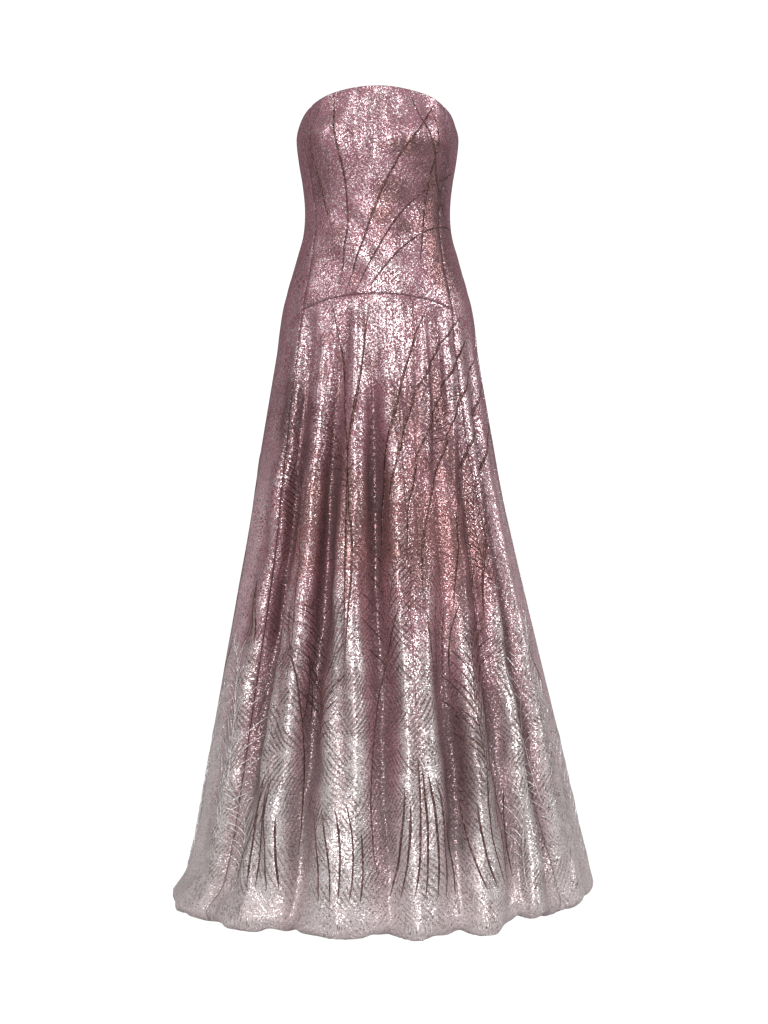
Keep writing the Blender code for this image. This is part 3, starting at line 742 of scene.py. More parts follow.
BLOTCHES += [(0.073, 160, 1.7), (0.035, 102, 5.6), (0.041, 48, 3.1)]
WANDER = [(0.31, 20, 0.2), (0.14, 8, 1.9), (0.17, 130, 4.0), (0.10, 15, 2.2), (0.08, 165, 0.9)]
print(len(PATCHES), "patches")

# %% [markdown]
# The folds decide where the painted highlight and the painted shade go, so they are measured
# first. Then the three colours and the two shares are built up from the top of the gown
# downwards: `under` says how far a place is below a height, and `blend` lays one colour over
# another.


# %% Painting the points
def blend(a, b, share):
    return a + (b - a) * share[..., None]


def under(height, start, over):
    """0 above a height, and 1 once it is this much further down."""
    return eased((start - height) / over)


def folds_seen(turn, stage, height):
    """Where painted shade and highlight go: large folds, their narrow bottoms, all crests, all
    hollows, and the gown's sides.
    """
    valley = eased(fold_depth(turn, np.clip(stage - 1.0, 0.0, 1.0)) / 0.018)
    crease = np.clip(valleys(turn, stage), 0.0, 1.0)
    lift = relief(turn, stage) / MM
    skirt = eased((stage - 1.0) / 0.04) * (1.0 - eased(stage - 2.5))
    # Crests get paler sequins, a painted highlight; hollows get wine red ones and darker net, a painted
    # shade.
    crest_highlight = eased((lift - 0.4) / 3.6) * (1.0 - valley) * skirt
    trough = eased((-0.4 - lift) / 3.6) * skirt
    side = eased((np.abs(turn) - 50.0) / 25.0) * eased((130.0 - np.abs(turn)) / 25.0)
    hollow_shade = np.clip(crease + 0.45 * trough * (1.0 - 0.9 * side), 0.0, 1.0)
    return valley, crease, crest_highlight, hollow_shade * (1.0 - under(height, -1.02, 0.08)), side


def patched(sequins, turn, stage, height):
    """The patches laid over the sequins' colour, and how dark they make each place."""
    dark_patches = np.zeros(turn.shape)
    for row in PATCHES:
        across = turn_between(turn, row.angle) * metres_per_degree(stage) / row.wide
        up = (height - row.height) / row.tall
        there = row.strength * np.exp(-((across * across + up * up) ** 2))
        sequins = blend(sequins, row.tint, there)
        # Dark patches, the painted shade on the +X side among them, also darken the net below them.
        dark_patches = np.maximum(dark_patches, there * (row.tint[1] < DARK_GREEN))
    return sequins, dark_patches


def tints(angle, stage, place):
    """Two sequin colours with the shares that they cover, and the net behind them."""
    height = place[..., 2]
    turn = turn_between(angle, 0.0)
    u, v = laid_out(turn, stage)
    meets = off_side_seam(turn, 14.0)
    blotch = 2.2 * meets * ripple(u, v, BLOTCHES)
    valley, crease, crest_highlight, hollow_shade, side = folds_seen(turn, stage, height)
    # Inside large folds the darker colours reach further down: painted shade.
    level = height + 0.10 * meets * ripple(u, v, WANDER) + 0.06 * valley
    silver = under(level, -0.56, 0.16)
    plain = np.zeros((*turn.shape, 3))

    sequins = blend(plain + MAUVE, ROSE, under(level, -0.24, 0.20) * 0.8)
    # Inside large folds the silver sequins turn rose: painted shade.
    sequins = blend(sequins, blend(plain + SILVER, ROSE, valley * 0.75), silver)
    sequins = blend(sequins, PEARL, under(level, -0.98, 0.12) * 0.4)
    sequins, dark_patches = patched(sequins, turn, stage, height)
    # Wine red sequins in the hollows are painted shade; pale ones on the crests are a painted highlight.
    sequins = blend(sequins, WINE, 0.60 * hollow_shade * (1.0 - 0.45 * silver))
    sequins = blend(sequins, PEARL, 0.60 * crest_highlight * (1.0 - 0.6 * silver) * (1.0 - 0.5 * side))

    accent = blend(plain + BRONZE, RUST, 0.6 * under(level, -0.30, 0.15))
    accent = blend(accent, SMOKE, silver)
    accent = blend(accent, TAUPE, under(level, -0.92, 0.14))
    # Wine red strewn sequins in the narrow bottoms of folds: painted shade.
    accent = blend(accent, WINE, crease * (1.0 - 0.6 * silver))

    net = blend(plain + NET_MAUVE, NET_PINK, under(height, -0.30, 0.3))
    # Paler net low down at the sides is partly the net's own colour and partly painted sheen.
    net = blend(net, NET_SIDE, 0.75 * side * under(height, -0.34, 0.20))
    rusty = bell((height + 0.53) / 0.11) * eased((60.0 - np.abs(turn)) / 20.0)
    net = blend(net, NET_RUST, 0.55 * rusty)
    # Inside large folds the pale net starts lower, and in the hollows the net is darker: painted shade. Under
    # dark patches it is darker too.
    net = blend(net, NET_PALE, under(level + 0.14 * valley, -0.58, 0.42))
    net = net * ((1.0 - 0.62 * hollow_shade) * (1.0 - 0.65 * dark_patches))[..., None]

    # Fewer sequins inside large folds and in the hollows, so more dark net shows: painted shade.
    cover = 0.64 + 0.27 * silver - 0.22 * valley * silver - 0.16 * side - 0.34 * side * silver
    cover = cover * (1.0 - 0.50 * under(height, -1.08, 0.07)) * (1.0 - 0.30 * hollow_shade)
    dark = 0.07 + 0.42 * eased((blotch - 0.10) / 0.5) + 0.42 * silver * eased((blotch + 0.30) / 0.5)
    # More dark strewn sequins inside large folds and in the hollows: painted shade.
    dark = dark + 0.30 * valley * under(height, -0.22, 0.10) + 0.9 * hollow_shade
    dark = (dark + 0.10 * silver + 0.80 * dark_patches) * (1.0 - 0.7 * side) * eased((cover - 0.15) / 0.30)

    sewn = bell(beside_seam(turn, stage) / SEAM_BARE) * (1.0 - 0.6 * silver)
    cover, net = cover * (1.0 - 0.8 * sewn), net * (1.0 - 0.5 * sewn[..., None])
    return sequins, np.clip(cover, 0.12, 1.0), accent, np.clip(dark, 0.0, 0.85), net


shown = tints(np.zeros(2), np.array([0.5, 1.9]), cloth(np.zeros(2), np.array([0.5, 1.9])))
print("share of sequins at the waist and near the hem:", np.round(shown[1], 2))

# %% [markdown]
# ## Cutting the shells
#
# Each panel is a grid of points between two lengthwise seams. The rows and columns crowd
# together near a seam, where the cloth dips, and the sheet gets a second face a little
# further in, so that it has a thin edge. The grid also gives the cloth its weave direction:
# the distances across and down it are stored as a flat pattern in metres, on which the
# sequins are laid out.

# %% Making a shell
SHELL = 1.6 * MM
EDGE_STEPS = np.array([0.0, 1.2, 2.6, 4.6, 7.5]) * MM
BODICE_ROWS, SKIRT_ROWS, LAST_ROW = 66, 196, 0.992


def crowded(count, length):
    """Shares from 0 to 1 that are close together near both ends."""
    near = EDGE_STEPS / length
    inner = np.linspace(near[-1], 1 - near[-1], count)[1:-1]
    return np.concatenate([near, inner, 1 - near[::-1]])


def rows_between(first, last):
    rows = []
    if first < 1:
        rows.append(crowded(BODICE_ROWS, BODICE_LONG))
    if last > 1:
        share = crowded(SKIRT_ROWS, SKIRT_LONG)
        rows.append(1.0 + share[share < LAST_ROW])
        rows.append(np.linspace(2.0, 3.0, 8))
        rows.append(np.linspace(3.0, 4.0, 5)[1:])
    return np.unique(np.round(np.concatenate(rows), 6))


def new_piece(name, points, faces, pattern):
    """A smooth mesh, with a place on the flat pattern for each of its points."""
    mesh = bpy.data.meshes.new(name)
    mesh.from_pydata(points.tolist(), [], faces.tolist())
    mesh.update()
    corners = np.empty(len(mesh.loops), dtype=np.int32)
    mesh.loops.foreach_get("vertex_index", corners)
    layer = mesh.uv_layers.new(name="pattern")
    layer.data.foreach_set("uv", pattern[corners].ravel().astype(np.float32))
    mesh.shade_smooth()
    piece = bpy.data.objects.new(name, mesh)
    bpy.context.scene.collection.objects.link(piece)
    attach(piece, "gown")
    return piece, mesh


def paint(mesh, name, colour, share):
    """A colour and a share on every point, the same outside and inside."""
    values = np.concatenate([colour, share[..., None]], axis=-1).reshape(-1, 4)
    layer = mesh.attributes.new(name, "FLOAT_COLOR", "POINT")
    layer.data.foreach_set("color", np.tile(values, (2, 1)).ravel().astype(np.float32))


print("rows of a full-length panel:", len(rows_between(0.0, 4.0)))

# %% [markdown]
# A shell is closed: the outer face, the same face turned over and moved in, and a rim that joins
# them. Its width and length are measured over the creases, for the sheet that it is cut from.


# %% Cutting one shell
def shell(name, left, right, columns, first, last, width):
    """A thin closed shell between two seams, each given as (seam, side)."""
    stages = rows_between(first, last)
    shares = crowded(columns, width)
    start = seam_angle(*left, stages)[:, None]
    end = seam_angle(*right, stages)[:, None]
    trim = SEAM_GAP / 2 / metres_per_degree(stages)[:, None]
    angle = (start + trim) + (end - start - 2 * trim) * shares[None, :]
    stage = np.repeat(stages[:, None], len(shares), axis=1)
    if first == 1.0:
        stage = stage + SEAM_GAP / 2 / SKIRT_LONG * (stage == 1.0)
    if last == 1.0:
        stage = stage - SEAM_GAP / 2 / BODICE_LONG * (stage == 1.0)
    outer, normal = dressed(angle, stage)
    inner = outer - SHELL * normal
    rows, cols = angle.shape
    n = rows * cols
    i, j = np.meshgrid(np.arange(rows - 1), np.arange(cols - 1), indexing="ij")
    a, b = (i * cols + j).ravel(), ((i + 1) * cols + j).ravel()
    faces = np.stack([a, b, b + 1, a + 1], axis=1)
    rim = list(range(cols))
    rim += [k * cols + cols - 1 for k in range(1, rows)]
    rim += [(rows - 1) * cols + k for k in reversed(range(cols - 1))]
    rim += [k * cols for k in reversed(range(1, rows - 1))]
    rim = np.array(rim)
    around = np.roll(rim, -1)
    edge = np.stack([rim, around, around + n, rim + n], axis=1)
    every = np.concatenate([faces, faces[:, ::-1] + n, edge])
    across = np.zeros((rows, cols))
    across[:, 1:] = np.cumsum(np.linalg.norm(np.diff(outer, axis=1), axis=-1), axis=1)
    across -= across[:, cols // 2][:, None]
    downwards = np.zeros((rows, cols))
    downwards[1:] = np.cumsum(np.linalg.norm(np.diff(outer, axis=0), axis=-1), axis=0)
    downwards = np.repeat(downwards[:, cols // 2][:, None], cols, axis=1)
    flat = np.tile(np.stack([across, downwards], axis=-1).reshape(-1, 2), (2, 1))
    points = np.concatenate([outer.reshape(-1, 3), inner.reshape(-1, 3)])
    piece, mesh = new_piece(name, points, every, flat)
    sequins, cover, accent, dark, net = tints(angle, stage, outer)
    paint(mesh, "sequins", sequins, cover)
    paint(mesh, "accent", accent, dark)
    paint(mesh, "net", net, np.ones(cover.shape))
    side = np.zeros(len(mesh.polygons), dtype=np.int32)
    side[len(faces) : 2 * len(faces)] = 1
    smooth = np.arange(len(mesh.polygons)) < 2 * len(faces)
    mesh.polygons.foreach_set("use_smooth", smooth)
    cell_wide = np.linalg.norm(np.diff(outer, axis=1)[:-1], axis=-1)
    cell_tall = np.linalg.norm(np.diff(outer, axis=0)[:, :-1], axis=-1)
    area = float(np.sum(cell_wide * cell_tall))
    size = (float(np.ptp(across, axis=1).max()), float(downwards.max()))
    print("%-20s %6d faces, %.3f x %.3f m, %.3f m2" % (name, len(every), *size, area))
    return piece, side, size, area


# %% [markdown]
# ## The sequinned cloth
#
# Each sequin is one cell of a Voronoi pattern on the flat layout. A cell's random colour tilts
# the surface's direction by up to some fifteen degrees, so every sequin flashes on its own, and
# slower noises lean whole groups of them the same way, as stroked sequins lean. Cells whose
# random number is above the painted cover are left out and show the net, and a slanting hatch
# varies that cover in rows. The sequins are metallic and fairly smooth; the net is matt.

# %% Sequins
PITCH = 1.6 * MM
SEQUIN_TILT, GROUP_LEAN, NAP_LEAN = 0.36, 0.05, 0.34
RISING_HATCH, FALLING_HATCH, HATCH_BEND = 6.6 * MM, 7.4 * MM, 42.0
SPARK = (0.87, 0.83, 0.85, 1)


def sequin_cloth():
    made, g = new_material("sequinned_net")
    flat = g.out("ShaderNodeUVMap", 0, {"uv_map": "pattern"})
    cells = g.node(
        "ShaderNodeTexVoronoi",
        {"voronoi_dimensions": "2D", "feature": "F1"},
        {"Vector": g.vector("SCALE", flat, scale=1 / PITCH), "Scale": 1.0, "Randomness": 0.62},
    )
    off, dice = Value(g, cells.outputs["Distance"]), Value(g, cells.outputs["Color"])
    one, two, three = g.split("ShaderNodeSeparateColor", dice)
    lean = g.noise(flat, 105.0, 2.0, 0.6, "Color", "2D")
    drift = g.noise(flat, 22.0, 3.0, 0.6, "Fac", "2D")
    nap = g.noise(g.vector("MULTIPLY", flat, (30.0, 8.0, 1.0)), 1.0, 1.0, 0.5, "Color", "2D")
    tint, cover = g.named("sequins")
    accent, dark = g.named("accent")
    net = g.named("net")[0]
    slow = g.noise(flat, 7.0, 1.0, 0.4, "Color", "2D")
    bend_a, bend_b, choice = g.split("ShaderNodeSeparateColor", slow)
    u, v, _ = g.split("ShaderNodeSeparateXYZ", flat)
    rising = ((u * 0.80 + v * 0.60) * (TURN / RISING_HATCH) + bend_a * HATCH_BEND).maths("SINE")
    falling = ((v * 0.66 - u * 0.75) * (TURN / FALLING_HATCH) + bend_b * HATCH_BEND).maths("SINE")
    either = g.smooth(choice, 0.47, 0.53)
    hatch = g.smooth(rising * (1 - either) + falling * either, -0.1, 0.8)
    tint = g.mix(three < dark * (0.35 + hatch * 1.5) + (drift - 0.5) * 0.7, tint, accent)
    kept = (one < cover * (0.72 + hatch * 0.45) + (drift - 0.5) * 0.5) * g.smooth(off, 0.62, 0.50)
    shade = 0.42 + two * 0.95
    shade = g.out("ShaderNodeCombineColor", 0, None, {0: shade, 1: shade, 2: shade})
    sequin = g.mix(1.0, tint, shade, "MULTIPLY")
    bright = g.out("ShaderNodeGamma", 0, None, {"Color": tint, "Gamma": 0.34})
    bright = g.mix(0.75, bright, SPARK)
    sequin = g.mix(g.smooth(two, 0.66, 0.90) * (0.80 - dark * 0.85), sequin, bright)
    turned = g.out("ShaderNodeNewGeometry", "Normal")
    for random, strength in ((dice, SEQUIN_TILT), (lean, GROUP_LEAN), (nap, NAP_LEAN)):
        turned = g.vector("ADD", turned, g.vector("SCALE", g.off_middle(random), scale=strength))
    sockets = {
        "Base Color": g.mix(kept, net, sequin),
        "Metallic": kept * 0.8,
        "IOR": 1.7,
        "Roughness": 0.80 - kept * (0.54 - three * 0.14),
        "Normal": g.vector("NORMALIZE", turned),
    }
    g.principled(sockets)
    return made


sequinned = sequin_cloth()
print("made", sequinned.name)

# %% [markdown]
# Nothing lies under the sequinned cloth, so the inside of the gown shows its reverse: matt net,
# with the short threads that hold the sequins. Warp and weft are two sine waves whose product
# is the bump, and the threads are the bright edges of stretched Voronoi cells.


# %% The cloth's reverse
THREAD = 0.9 * MM


def cloth_reverse():
    made, g = new_material("cloth_reverse")
    flat = g.out("ShaderNodeUVMap", 0, {"uv_map": "pattern"})
    u, v, _ = g.split("ShaderNodeSeparateXYZ", flat)
    weave = wave(u, THREAD) * wave(v, THREAD)
    cloud = g.noise(flat, 30.0, 3.0, 0.5, "Fac", "2D")
    knots = g.out(
        "ShaderNodeTexVoronoi",
        "Distance",
        {"voronoi_dimensions": "2D"},
        {"Vector": g.vector("MULTIPLY", flat, (620.0, 250.0, 1.0)), "Scale": 1.0},
    )
    colour = g.mix(g.smooth(cloud, 0.3, 0.7), (0.235, 0.140, 0.160, 1), (0.300, 0.185, 0.205, 1))
    colour = g.mix(weave * 0.12 + 0.12, colour, (0.40, 0.28, 0.30, 1))
    colour = g.mix(g.smooth(knots, 0.30, 0.12) * 0.35, colour, (0.52, 0.42, 0.43, 1))
    bump = g.out("ShaderNodeBump", 0, None, {"Height": weave, "Strength": 0.35, "Distance": 0.0003})
    g.principled({"Base Color": colour, "Roughness": 0.85, "Sheen Weight": 0.2, "Normal": bump})
    return made


reverse = cloth_reverse()
print("made", reverse.name)

# %% [markdown]
# ## The panels
#
# Ten panels make the gown: a front bodice over a gathered front skirt, four side panels that
# run from the underarm to the floor, and the same again behind, split at the centre back for
# the zip. Each shell replaces its solid, which is hidden.

# %% Cut and hang the panels
PANELS = []
for side, word in ((-1, "right"), (1, "left")):
    front_seam, side_seam = ("front", side), ("side", side)
    back_seam, centre_back = ("back", side), ("centre_back", side)
    for name, one, other, columns, first, last, width in (
        ("side_front", front_seam, side_seam, 36, 0.0, 4.0, 0.15),
        ("side_back", side_seam, back_seam, 36, 0.0, 4.0, 0.15),
        ("bodice_back", back_seam, centre_back, 28, 0.0, 1.0, 0.11),
        ("skirt_back", back_seam, centre_back, 66, 1.0, 4.0, 0.22),
    ):
        edges = (one, other) if side > 0 else (other, one)
        PANELS.append((f"{name}_{word}", *edges, columns, first, last, width))
PANELS.append(("bodice_front", ("front", -1), ("front", 1), 76, 0.0, 1.0, 0.24))
PANELS.append(("skirt_front", ("front", -1), ("front", 1), 150, 1.0, 4.0, 0.45))

shells = {}
for row in PANELS:
    piece, side, size, area = shell(row[0] + "_cloth", *row[1:])
    piece.data.materials.append(sequinned)
    piece.data.materials.append(reverse)
    piece.data.polygons.foreach_set("material_index", side)
    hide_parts(row[0])
    held = "gathered" if "skirt" in row[0] else "hung" if "side" in row[0] else "stretched"
    shells[row[0]] = piece
print(len(shells), "panels")

# %% [markdown]
# ## Bead lines
#
# Long, dark lines of small beads sweep over the gown, and slender leaf sprays grow between
# them. A line is drawn by walking over the cloth: from a starting place, with a heading (0 runs
# down, 90 towards +X, 180 up), a length and the angle by which it bends on the way. All the
# barbs of a leaf are walked at the same time.


# %% Walking over the cloth
def walk(angle, stage, heading, length, bend, steps):
    """Curved lines over the cloth, one a row, as their angles and stages."""
    start = [np.atleast_1d(np.asarray(v, float)) for v in (angle, stage, heading, length, bend)]
    angle, stage, heading, length, bend = (v.copy() for v in np.broadcast_arrays(*start))
    angles, stages = [angle], [stage]
    for i in range(1, steps):
        turn = np.radians(heading + bend * (i - 0.5) / (steps - 1))
        step = length / (steps - 1)
        stage = np.clip(stage + step * np.cos(turn) / metres_per_stage(stage), 0.004, 2.6)
        angle = angle + step * np.sin(turn) / metres_per_degree(stage)
        angles.append(angle)
        stages.append(stage)
    return np.stack(angles, axis=1), np.stack(stages, axis=1)


Strand = namedtuple("Strand", "angles stages width")


def leaf(spray):
    """A stem with barbs on both sides, longest a third of the way up."""
    steps = max(8, int(spray.length / 0.008))
    angles, stages = walk(spray.angle, spray.stage, spray.heading, spray.length, spray.bend, steps)
    count = int(spray.length / spray.pitch)
    share = (np.arange(count) + 0.6) / count
    at = share * (steps - 1)
    root_angle = np.interp(at, np.arange(steps), angles[0])
    root_stage = np.interp(at, np.arange(steps), stages[0])
    heading = spray.heading + spray.bend * share
    size = spray.barb * np.sin(np.pi * share**0.75) ** 0.8 + 0.006
    lean = spray.lean * (0.9 - 0.4 * share)
    barbs = [Strand(angles, stages, 1.6 * MM)]
    fuller = 1 if spray.bend > 0 else -1
    for side in (-1, 1):
        uneven = 1.0 + 0.30 * np.sin(share * 47.0 + spray.angle + side) - 0.38 * (side != fuller)
        a, b = walk(root_angle, root_stage, heading + side * lean, size * uneven, side * 34.0, 9)
        barbs.append(Strand(a, b, spray.thick * MM))
    return barbs


angles, stages = walk(0.0, 1.0, 0.0, 0.2, 0.0, 20)
print("walking down 0.2 m leads to stage %.3f" % stages[0, -1])

# %% [markdown]
# All lines of a piece become one mesh. Each line gets a low, closed, four-sided section that
# tapers towards both ends, and stands a little in the cloth so that no gap shows.


# %% Raising the lines
def bead_lines(name, groups, rise, material, depth=None):
    """One mesh of raised lines, each with a four-sided section. They lie on the creased cloth,
    or at a depth behind the plain one, raised inwards."""
    points, faces, flat, base = [], [], [], 0
    for group in groups:
        lines, steps = group.angles.shape
        if depth is None:
            place, normal = dressed(group.angles, group.stages)
        else:
            normal = -outward(group.angles, group.stages)
            place = cloth(group.angles, group.stages) + normal * depth
        along = np.gradient(place, axis=1)
        across = np.cross(normal, along)
        across /= np.linalg.norm(across, axis=-1, keepdims=True) + 1e-12
        share = np.linspace(0.0, 1.0, steps)
        taper = np.sqrt(np.clip(np.minimum(share, 1 - share) * 5.0, 0.06, 1.0))[None, :, None]
        half = group.width / 2 * taper
        foot = 0.5 * MM if depth is None else 0.0
        top, bottom = place + normal * rise * taper, place - normal * foot
        ring = [place + across * half, top, place - across * half, bottom]
        points.append(np.stack(ring, axis=2).reshape(-1, 3))
        i, j, k = np.meshgrid(np.arange(lines), np.arange(steps - 1), np.arange(4), indexing="ij")
        a = base + (i * steps + j) * 4 + k
        b = base + (i * steps + j) * 4 + (k + 1) % 4
        faces.append(np.stack([a, b, b + 4, a + 4], axis=-1).reshape(-1, 4))
        first = base + np.arange(lines)[:, None] * steps * 4
        faces.append(first + np.array([[3, 2, 1, 0]]))
        faces.append(first + (steps - 1) * 4 + np.array([[0, 1, 2, 3]]))
        length = np.cumsum(np.linalg.norm(along, axis=-1), axis=1)
        row = np.arange(lines)[:, None] + 0.0 * length
        flat.append(np.repeat(np.stack([row + len(flat) * 7.3, length], axis=-1).reshape(-1, 2), 4, axis=0))
        base += lines * steps * 4
    piece, mesh = new_piece(name, np.concatenate(points), np.concatenate(faces), np.concatenate(flat))
    mesh.materials.append(material)
    print("%-20s %6d faces" % (name, len(mesh.polygons)))
    return piece


# %% [markdown]
# The beads themselves are short tubes, three millimetres long. Counting the length of a line
# in beads gives every bead its own number, and a random shade and tilt with it.


# %% Beads
BEAD = 3.0 * MM


def beads(name, colour, bright, rough):
    made, g = new_material(name)
    line, along, _ = g.split("ShaderNodeSeparateXYZ", g.out("ShaderNodeUVMap", 0, {"uv_map": "pattern"}))
    length = along * (1 / BEAD)
    number = g.out("ShaderNodeCombineXYZ", 0, None, {0: line, 1: length.maths("FLOOR")})
    dice = g.out("ShaderNodeTexWhiteNoise", "Color", {"noise_dimensions": "2D"}, {"Vector": number})
    shine = g.smooth(g.split("ShaderNodeSeparateColor", dice)[0], 0.45, 1.0)
    # The near-black between beads is painted shade in the gaps between them.
    gap = g.smooth((length.maths("FRACT") - 0.5).maths("ABSOLUTE"), 0.36, 0.5)
    shade = g.mix(gap * 0.8, g.mix(shine, colour, bright), (0.03, 0.015, 0.015, 1))
    tilt = g.vector("SCALE", g.off_middle(dice), scale=0.5)
    normal = g.vector("NORMALIZE", g.vector("ADD", g.out("ShaderNodeNewGeometry", "Normal"), tilt))
    g.principled({"Base Color": shade, "Metallic": 0.7, "Roughness": rough, "Normal": normal})
    return made


dark_beads = beads("dark_beads", (0.085, 0.038, 0.034, 1), (0.240, 0.130, 0.115, 1), 0.42)
silver_beads = beads("silver_beads", (0.62, 0.58, 0.58, 1), (0.95, 0.92, 0.92, 1), 0.30)
print("made", dark_beads.name, "and", silver_beads.name)

# %% [markdown]
# ## Where the lines run
#
# Stems are long sweeping curves: a fan over the bodice, a second one that comes down from the
# hip on the +X side, and single ones that follow the folds. The leaf sprays are small in the
# rosy middle and large near the hem, where dark ones lie on silver sequins and silver ones on
# pale net. Sheaves are short upright lines side by side that open a little, at the hem and in
# a few places above it.

# %% The design tables
STEMS = table("Stem", "angle stage heading length bend width", [
    # a fan over the front bodice
    (-24, 0.985, 176, 0.33, 14, 1.9), (-19, 0.985, 168, 0.345, -22, 2.1),
    (-13, 0.985, 158, 0.34, -34, 1.9), (-6, 0.985, 148, 0.25, -36, 1.7), (24, 0.03, 16, 0.21, 30, 1.7),
    (38, 0.06, 8, 0.26, -26, 1.8), (-42, 0.05, 344, 0.2, 40, 1.7),
    # down from the hip on the +X side
    (56, 1.005, 318, 0.4, 40, 3.2), (64, 1.03, 320, 0.43, 36, 3.2), (72, 1.055, 322, 0.46, 32, 3.0),
    (80, 1.085, 324, 0.44, 30, 3.0), (88, 1.12, 326, 0.42, 30, 2.8), (30, 1.01, 336, 0.42, 24, 2.9),
    # single ones along the folds
    (-4, 1.01, 352, 0.52, 10, 2.8), (-26, 1.02, 12, 0.56, -16, 2.8), (-52, 1.16, 20, 0.42, -24, 1.7),
    (9, 1.48, 340, 0.43, 26, 1.8), (46, 1.42, 345, 0.46, 24, 1.8), (-38, 1.5, 16, 0.4, -20, 1.8),
    (66, 1.56, 20, 0.36, -28, 1.6), (-70, 1.52, 340, 0.38, 30, 1.6),
    # behind
    (174, 0.985, 186, 0.28, 12, 1.8), (166, 0.985, 194, 0.29, 24, 1.9), (157, 0.985, 202, 0.24, 30, 1.7),
    (-171, 0.985, 174, 0.29, -18, 1.9), (-162, 0.985, 164, 0.27, -28, 1.8),
    (-150, 0.06, 352, 0.22, -26, 1.7), (-120, 1.02, 22, 0.46, -30, 2.0), (-112, 1.06, 24, 0.48, -32, 2.0),
    (-104, 1.1, 26, 0.45, -30, 1.8), (174, 1.03, 350, 0.56, 14, 1.8), (150, 1.03, 10, 0.52, -18, 1.8),
    (120, 1.06, 344, 0.48, 22, 1.8), (-150, 1.45, 344, 0.42, 26, 1.8), (132, 1.48, 16, 0.43, -26, 1.8),
])

SPRAY = "angle stage heading length bend barb pitch lean thick"
DARK_SPRAYS = table("Spray", SPRAY, [
    (-12, 1.33, 190, 0.17, 30, 0.034, 0.0095, 30, 1.7), (22, 1.3, 172, 0.18, -34, 0.034, 0.0095, 30, 1.7),
    (-44, 1.42, 168, 0.18, 34, 0.04, 0.0095, 30, 1.7), (50, 1.48, 194, 0.19, -30, 0.04, 0.0095, 30, 1.7),
    (2, 1.64, 186, 0.23, -26, 0.08, 0.015, 24, 2.0), (-24, 1.74, 168, 0.23, 34, 0.09, 0.017, 22, 2.2),
    (33, 1.78, 192, 0.24, -32, 0.09, 0.017, 22, 2.2), (170, 1.66, 176, 0.24, 28, 0.08, 0.015, 24, 2.0),
    (-160, 1.84, 172, 0.25, 32, 0.09, 0.017, 22, 2.2),
    (-172, 1.38, 186, 0.19, -30, 0.036, 0.0095, 30, 1.7),
    (158, 1.34, 170, 0.18, 30, 0.036, 0.0095, 30, 1.7),
])
SILVER_SPRAYS = table("Spray", SPRAY, [
    (-60, 1.9, 168, 0.36, 40, 0.1, 0.017, 34, 1.7), (-84, 1.97, 188, 0.34, -34, 0.096, 0.017, 34, 1.7),
    (58, 1.88, 192, 0.37, -42, 0.104, 0.017, 34, 1.7), (80, 1.97, 172, 0.35, 38, 0.098, 0.017, 34, 1.7),
    (102, 1.9, 190, 0.34, -36, 0.098, 0.017, 34, 1.7), (126, 1.97, 172, 0.33, 34, 0.092, 0.017, 34, 1.7),
    (-108, 1.9, 170, 0.34, 36, 0.098, 0.017, 34, 1.7),
    (-130, 1.97, 188, 0.33, -34, 0.092, 0.017, 34, 1.7),
    (42, 1.985, 186, 0.22, -40, 0.06, 0.015, 36, 1.6), (-50, 1.985, 174, 0.21, 40, 0.058, 0.015, 36, 1.6),
])

SHEAVES = table("Sheaf", "angle stage heading length bend count apart opening width", [
    (-40, 1.955, 186, 0.175, -14, 6, 3.4, 3.0, 3.8), (-13, 1.965, 178, 0.15, 16, 5, 2.8, -3.0, 3.5),
    (10, 1.96, 172, 0.205, 12, 7, 3.2, 2.5, 4.1), (33, 1.95, 192, 0.16, -18, 5, 2.8, -3.5, 3.5),
    (-26, 1.7, 176, 0.12, 20, 4, 2.2, 5.0, 3.0), (22, 1.62, 186, 0.13, -20, 4, 2.2, -5.0, 3.0),
    (-58, 1.56, 168, 0.11, 24, 4, 2.4, 5.0, 2.7), (52, 1.74, 190, 0.13, -20, 4, 2.2, 5.0, 3.0),
    (146, 1.96, 186, 0.19, -14, 6, 3.2, 3.0, 3.8), (172, 1.96, 176, 0.16, 16, 6, 2.8, -3.0, 3.5),
    (-150, 1.955, 178, 0.2, 14, 6, 3.2, 2.5, 3.8), (-172, 1.7, 184, 0.13, -20, 4, 2.2, 5.0, 3.0),
    (158, 1.64, 176, 0.13, 20, 4, 2.2, -5.0, 3.0),
])
print(len(STEMS), "stems,", len(DARK_SPRAYS) + len(SILVER_SPRAYS), "sprays,", len(SHEAVES), "sheaves")

# %% [markdown]
# Now every row is walked, and all lines of one colour become one piece.


# %% Laying the lines
def sheaf(row):
    """Neighbouring lines that open or close like a fan."""
    place = np.arange(row.count) - (row.count - 1) / 2
    length = row.length * (1.0 - 0.10 * np.abs(place) + 0.12 * np.sin(2.6 * place + row.angle))
    angle, heading = row.angle + row.apart * place, row.heading + row.opening * place
    return Strand(*walk(angle, row.stage, heading, length, row.bend, 26), row.width * MM)


STEM_WIDER, RISE = 1.8, 0.7 * MM
dark_groups = [sheaf(row) for row in SHEAVES]
for row in STEMS:
    places = walk(row.angle, row.stage, row.heading, row.length, row.bend, max(8, int(row.length / 0.006)))
    dark_groups.append(Strand(*places, STEM_WIDER * row.width * MM))
for row in DARK_SPRAYS:
    dark_groups += leaf(row)
silver_groups = [strand for row in SILVER_SPRAYS for strand in leaf(row)]
bead_lines("dark_bead_lines", dark_groups, RISE, dark_beads)
bead_lines("silver_bead_lines", silver_groups, RISE, silver_beads)

# %% [markdown]
# ## The zip
#
# A concealed zip closes the back. Its tape, slider and pull are solids with the right shape,
# so they stay and only get better materials: a ribbed woven tape, and metal under a thin coat
# of enamel. The coil and the stitches are too small for the solid model. They are short lines
# again, this time on the inside: two rows of coil loops that mesh along the middle, and a row
# of stitches down each edge of the tape.

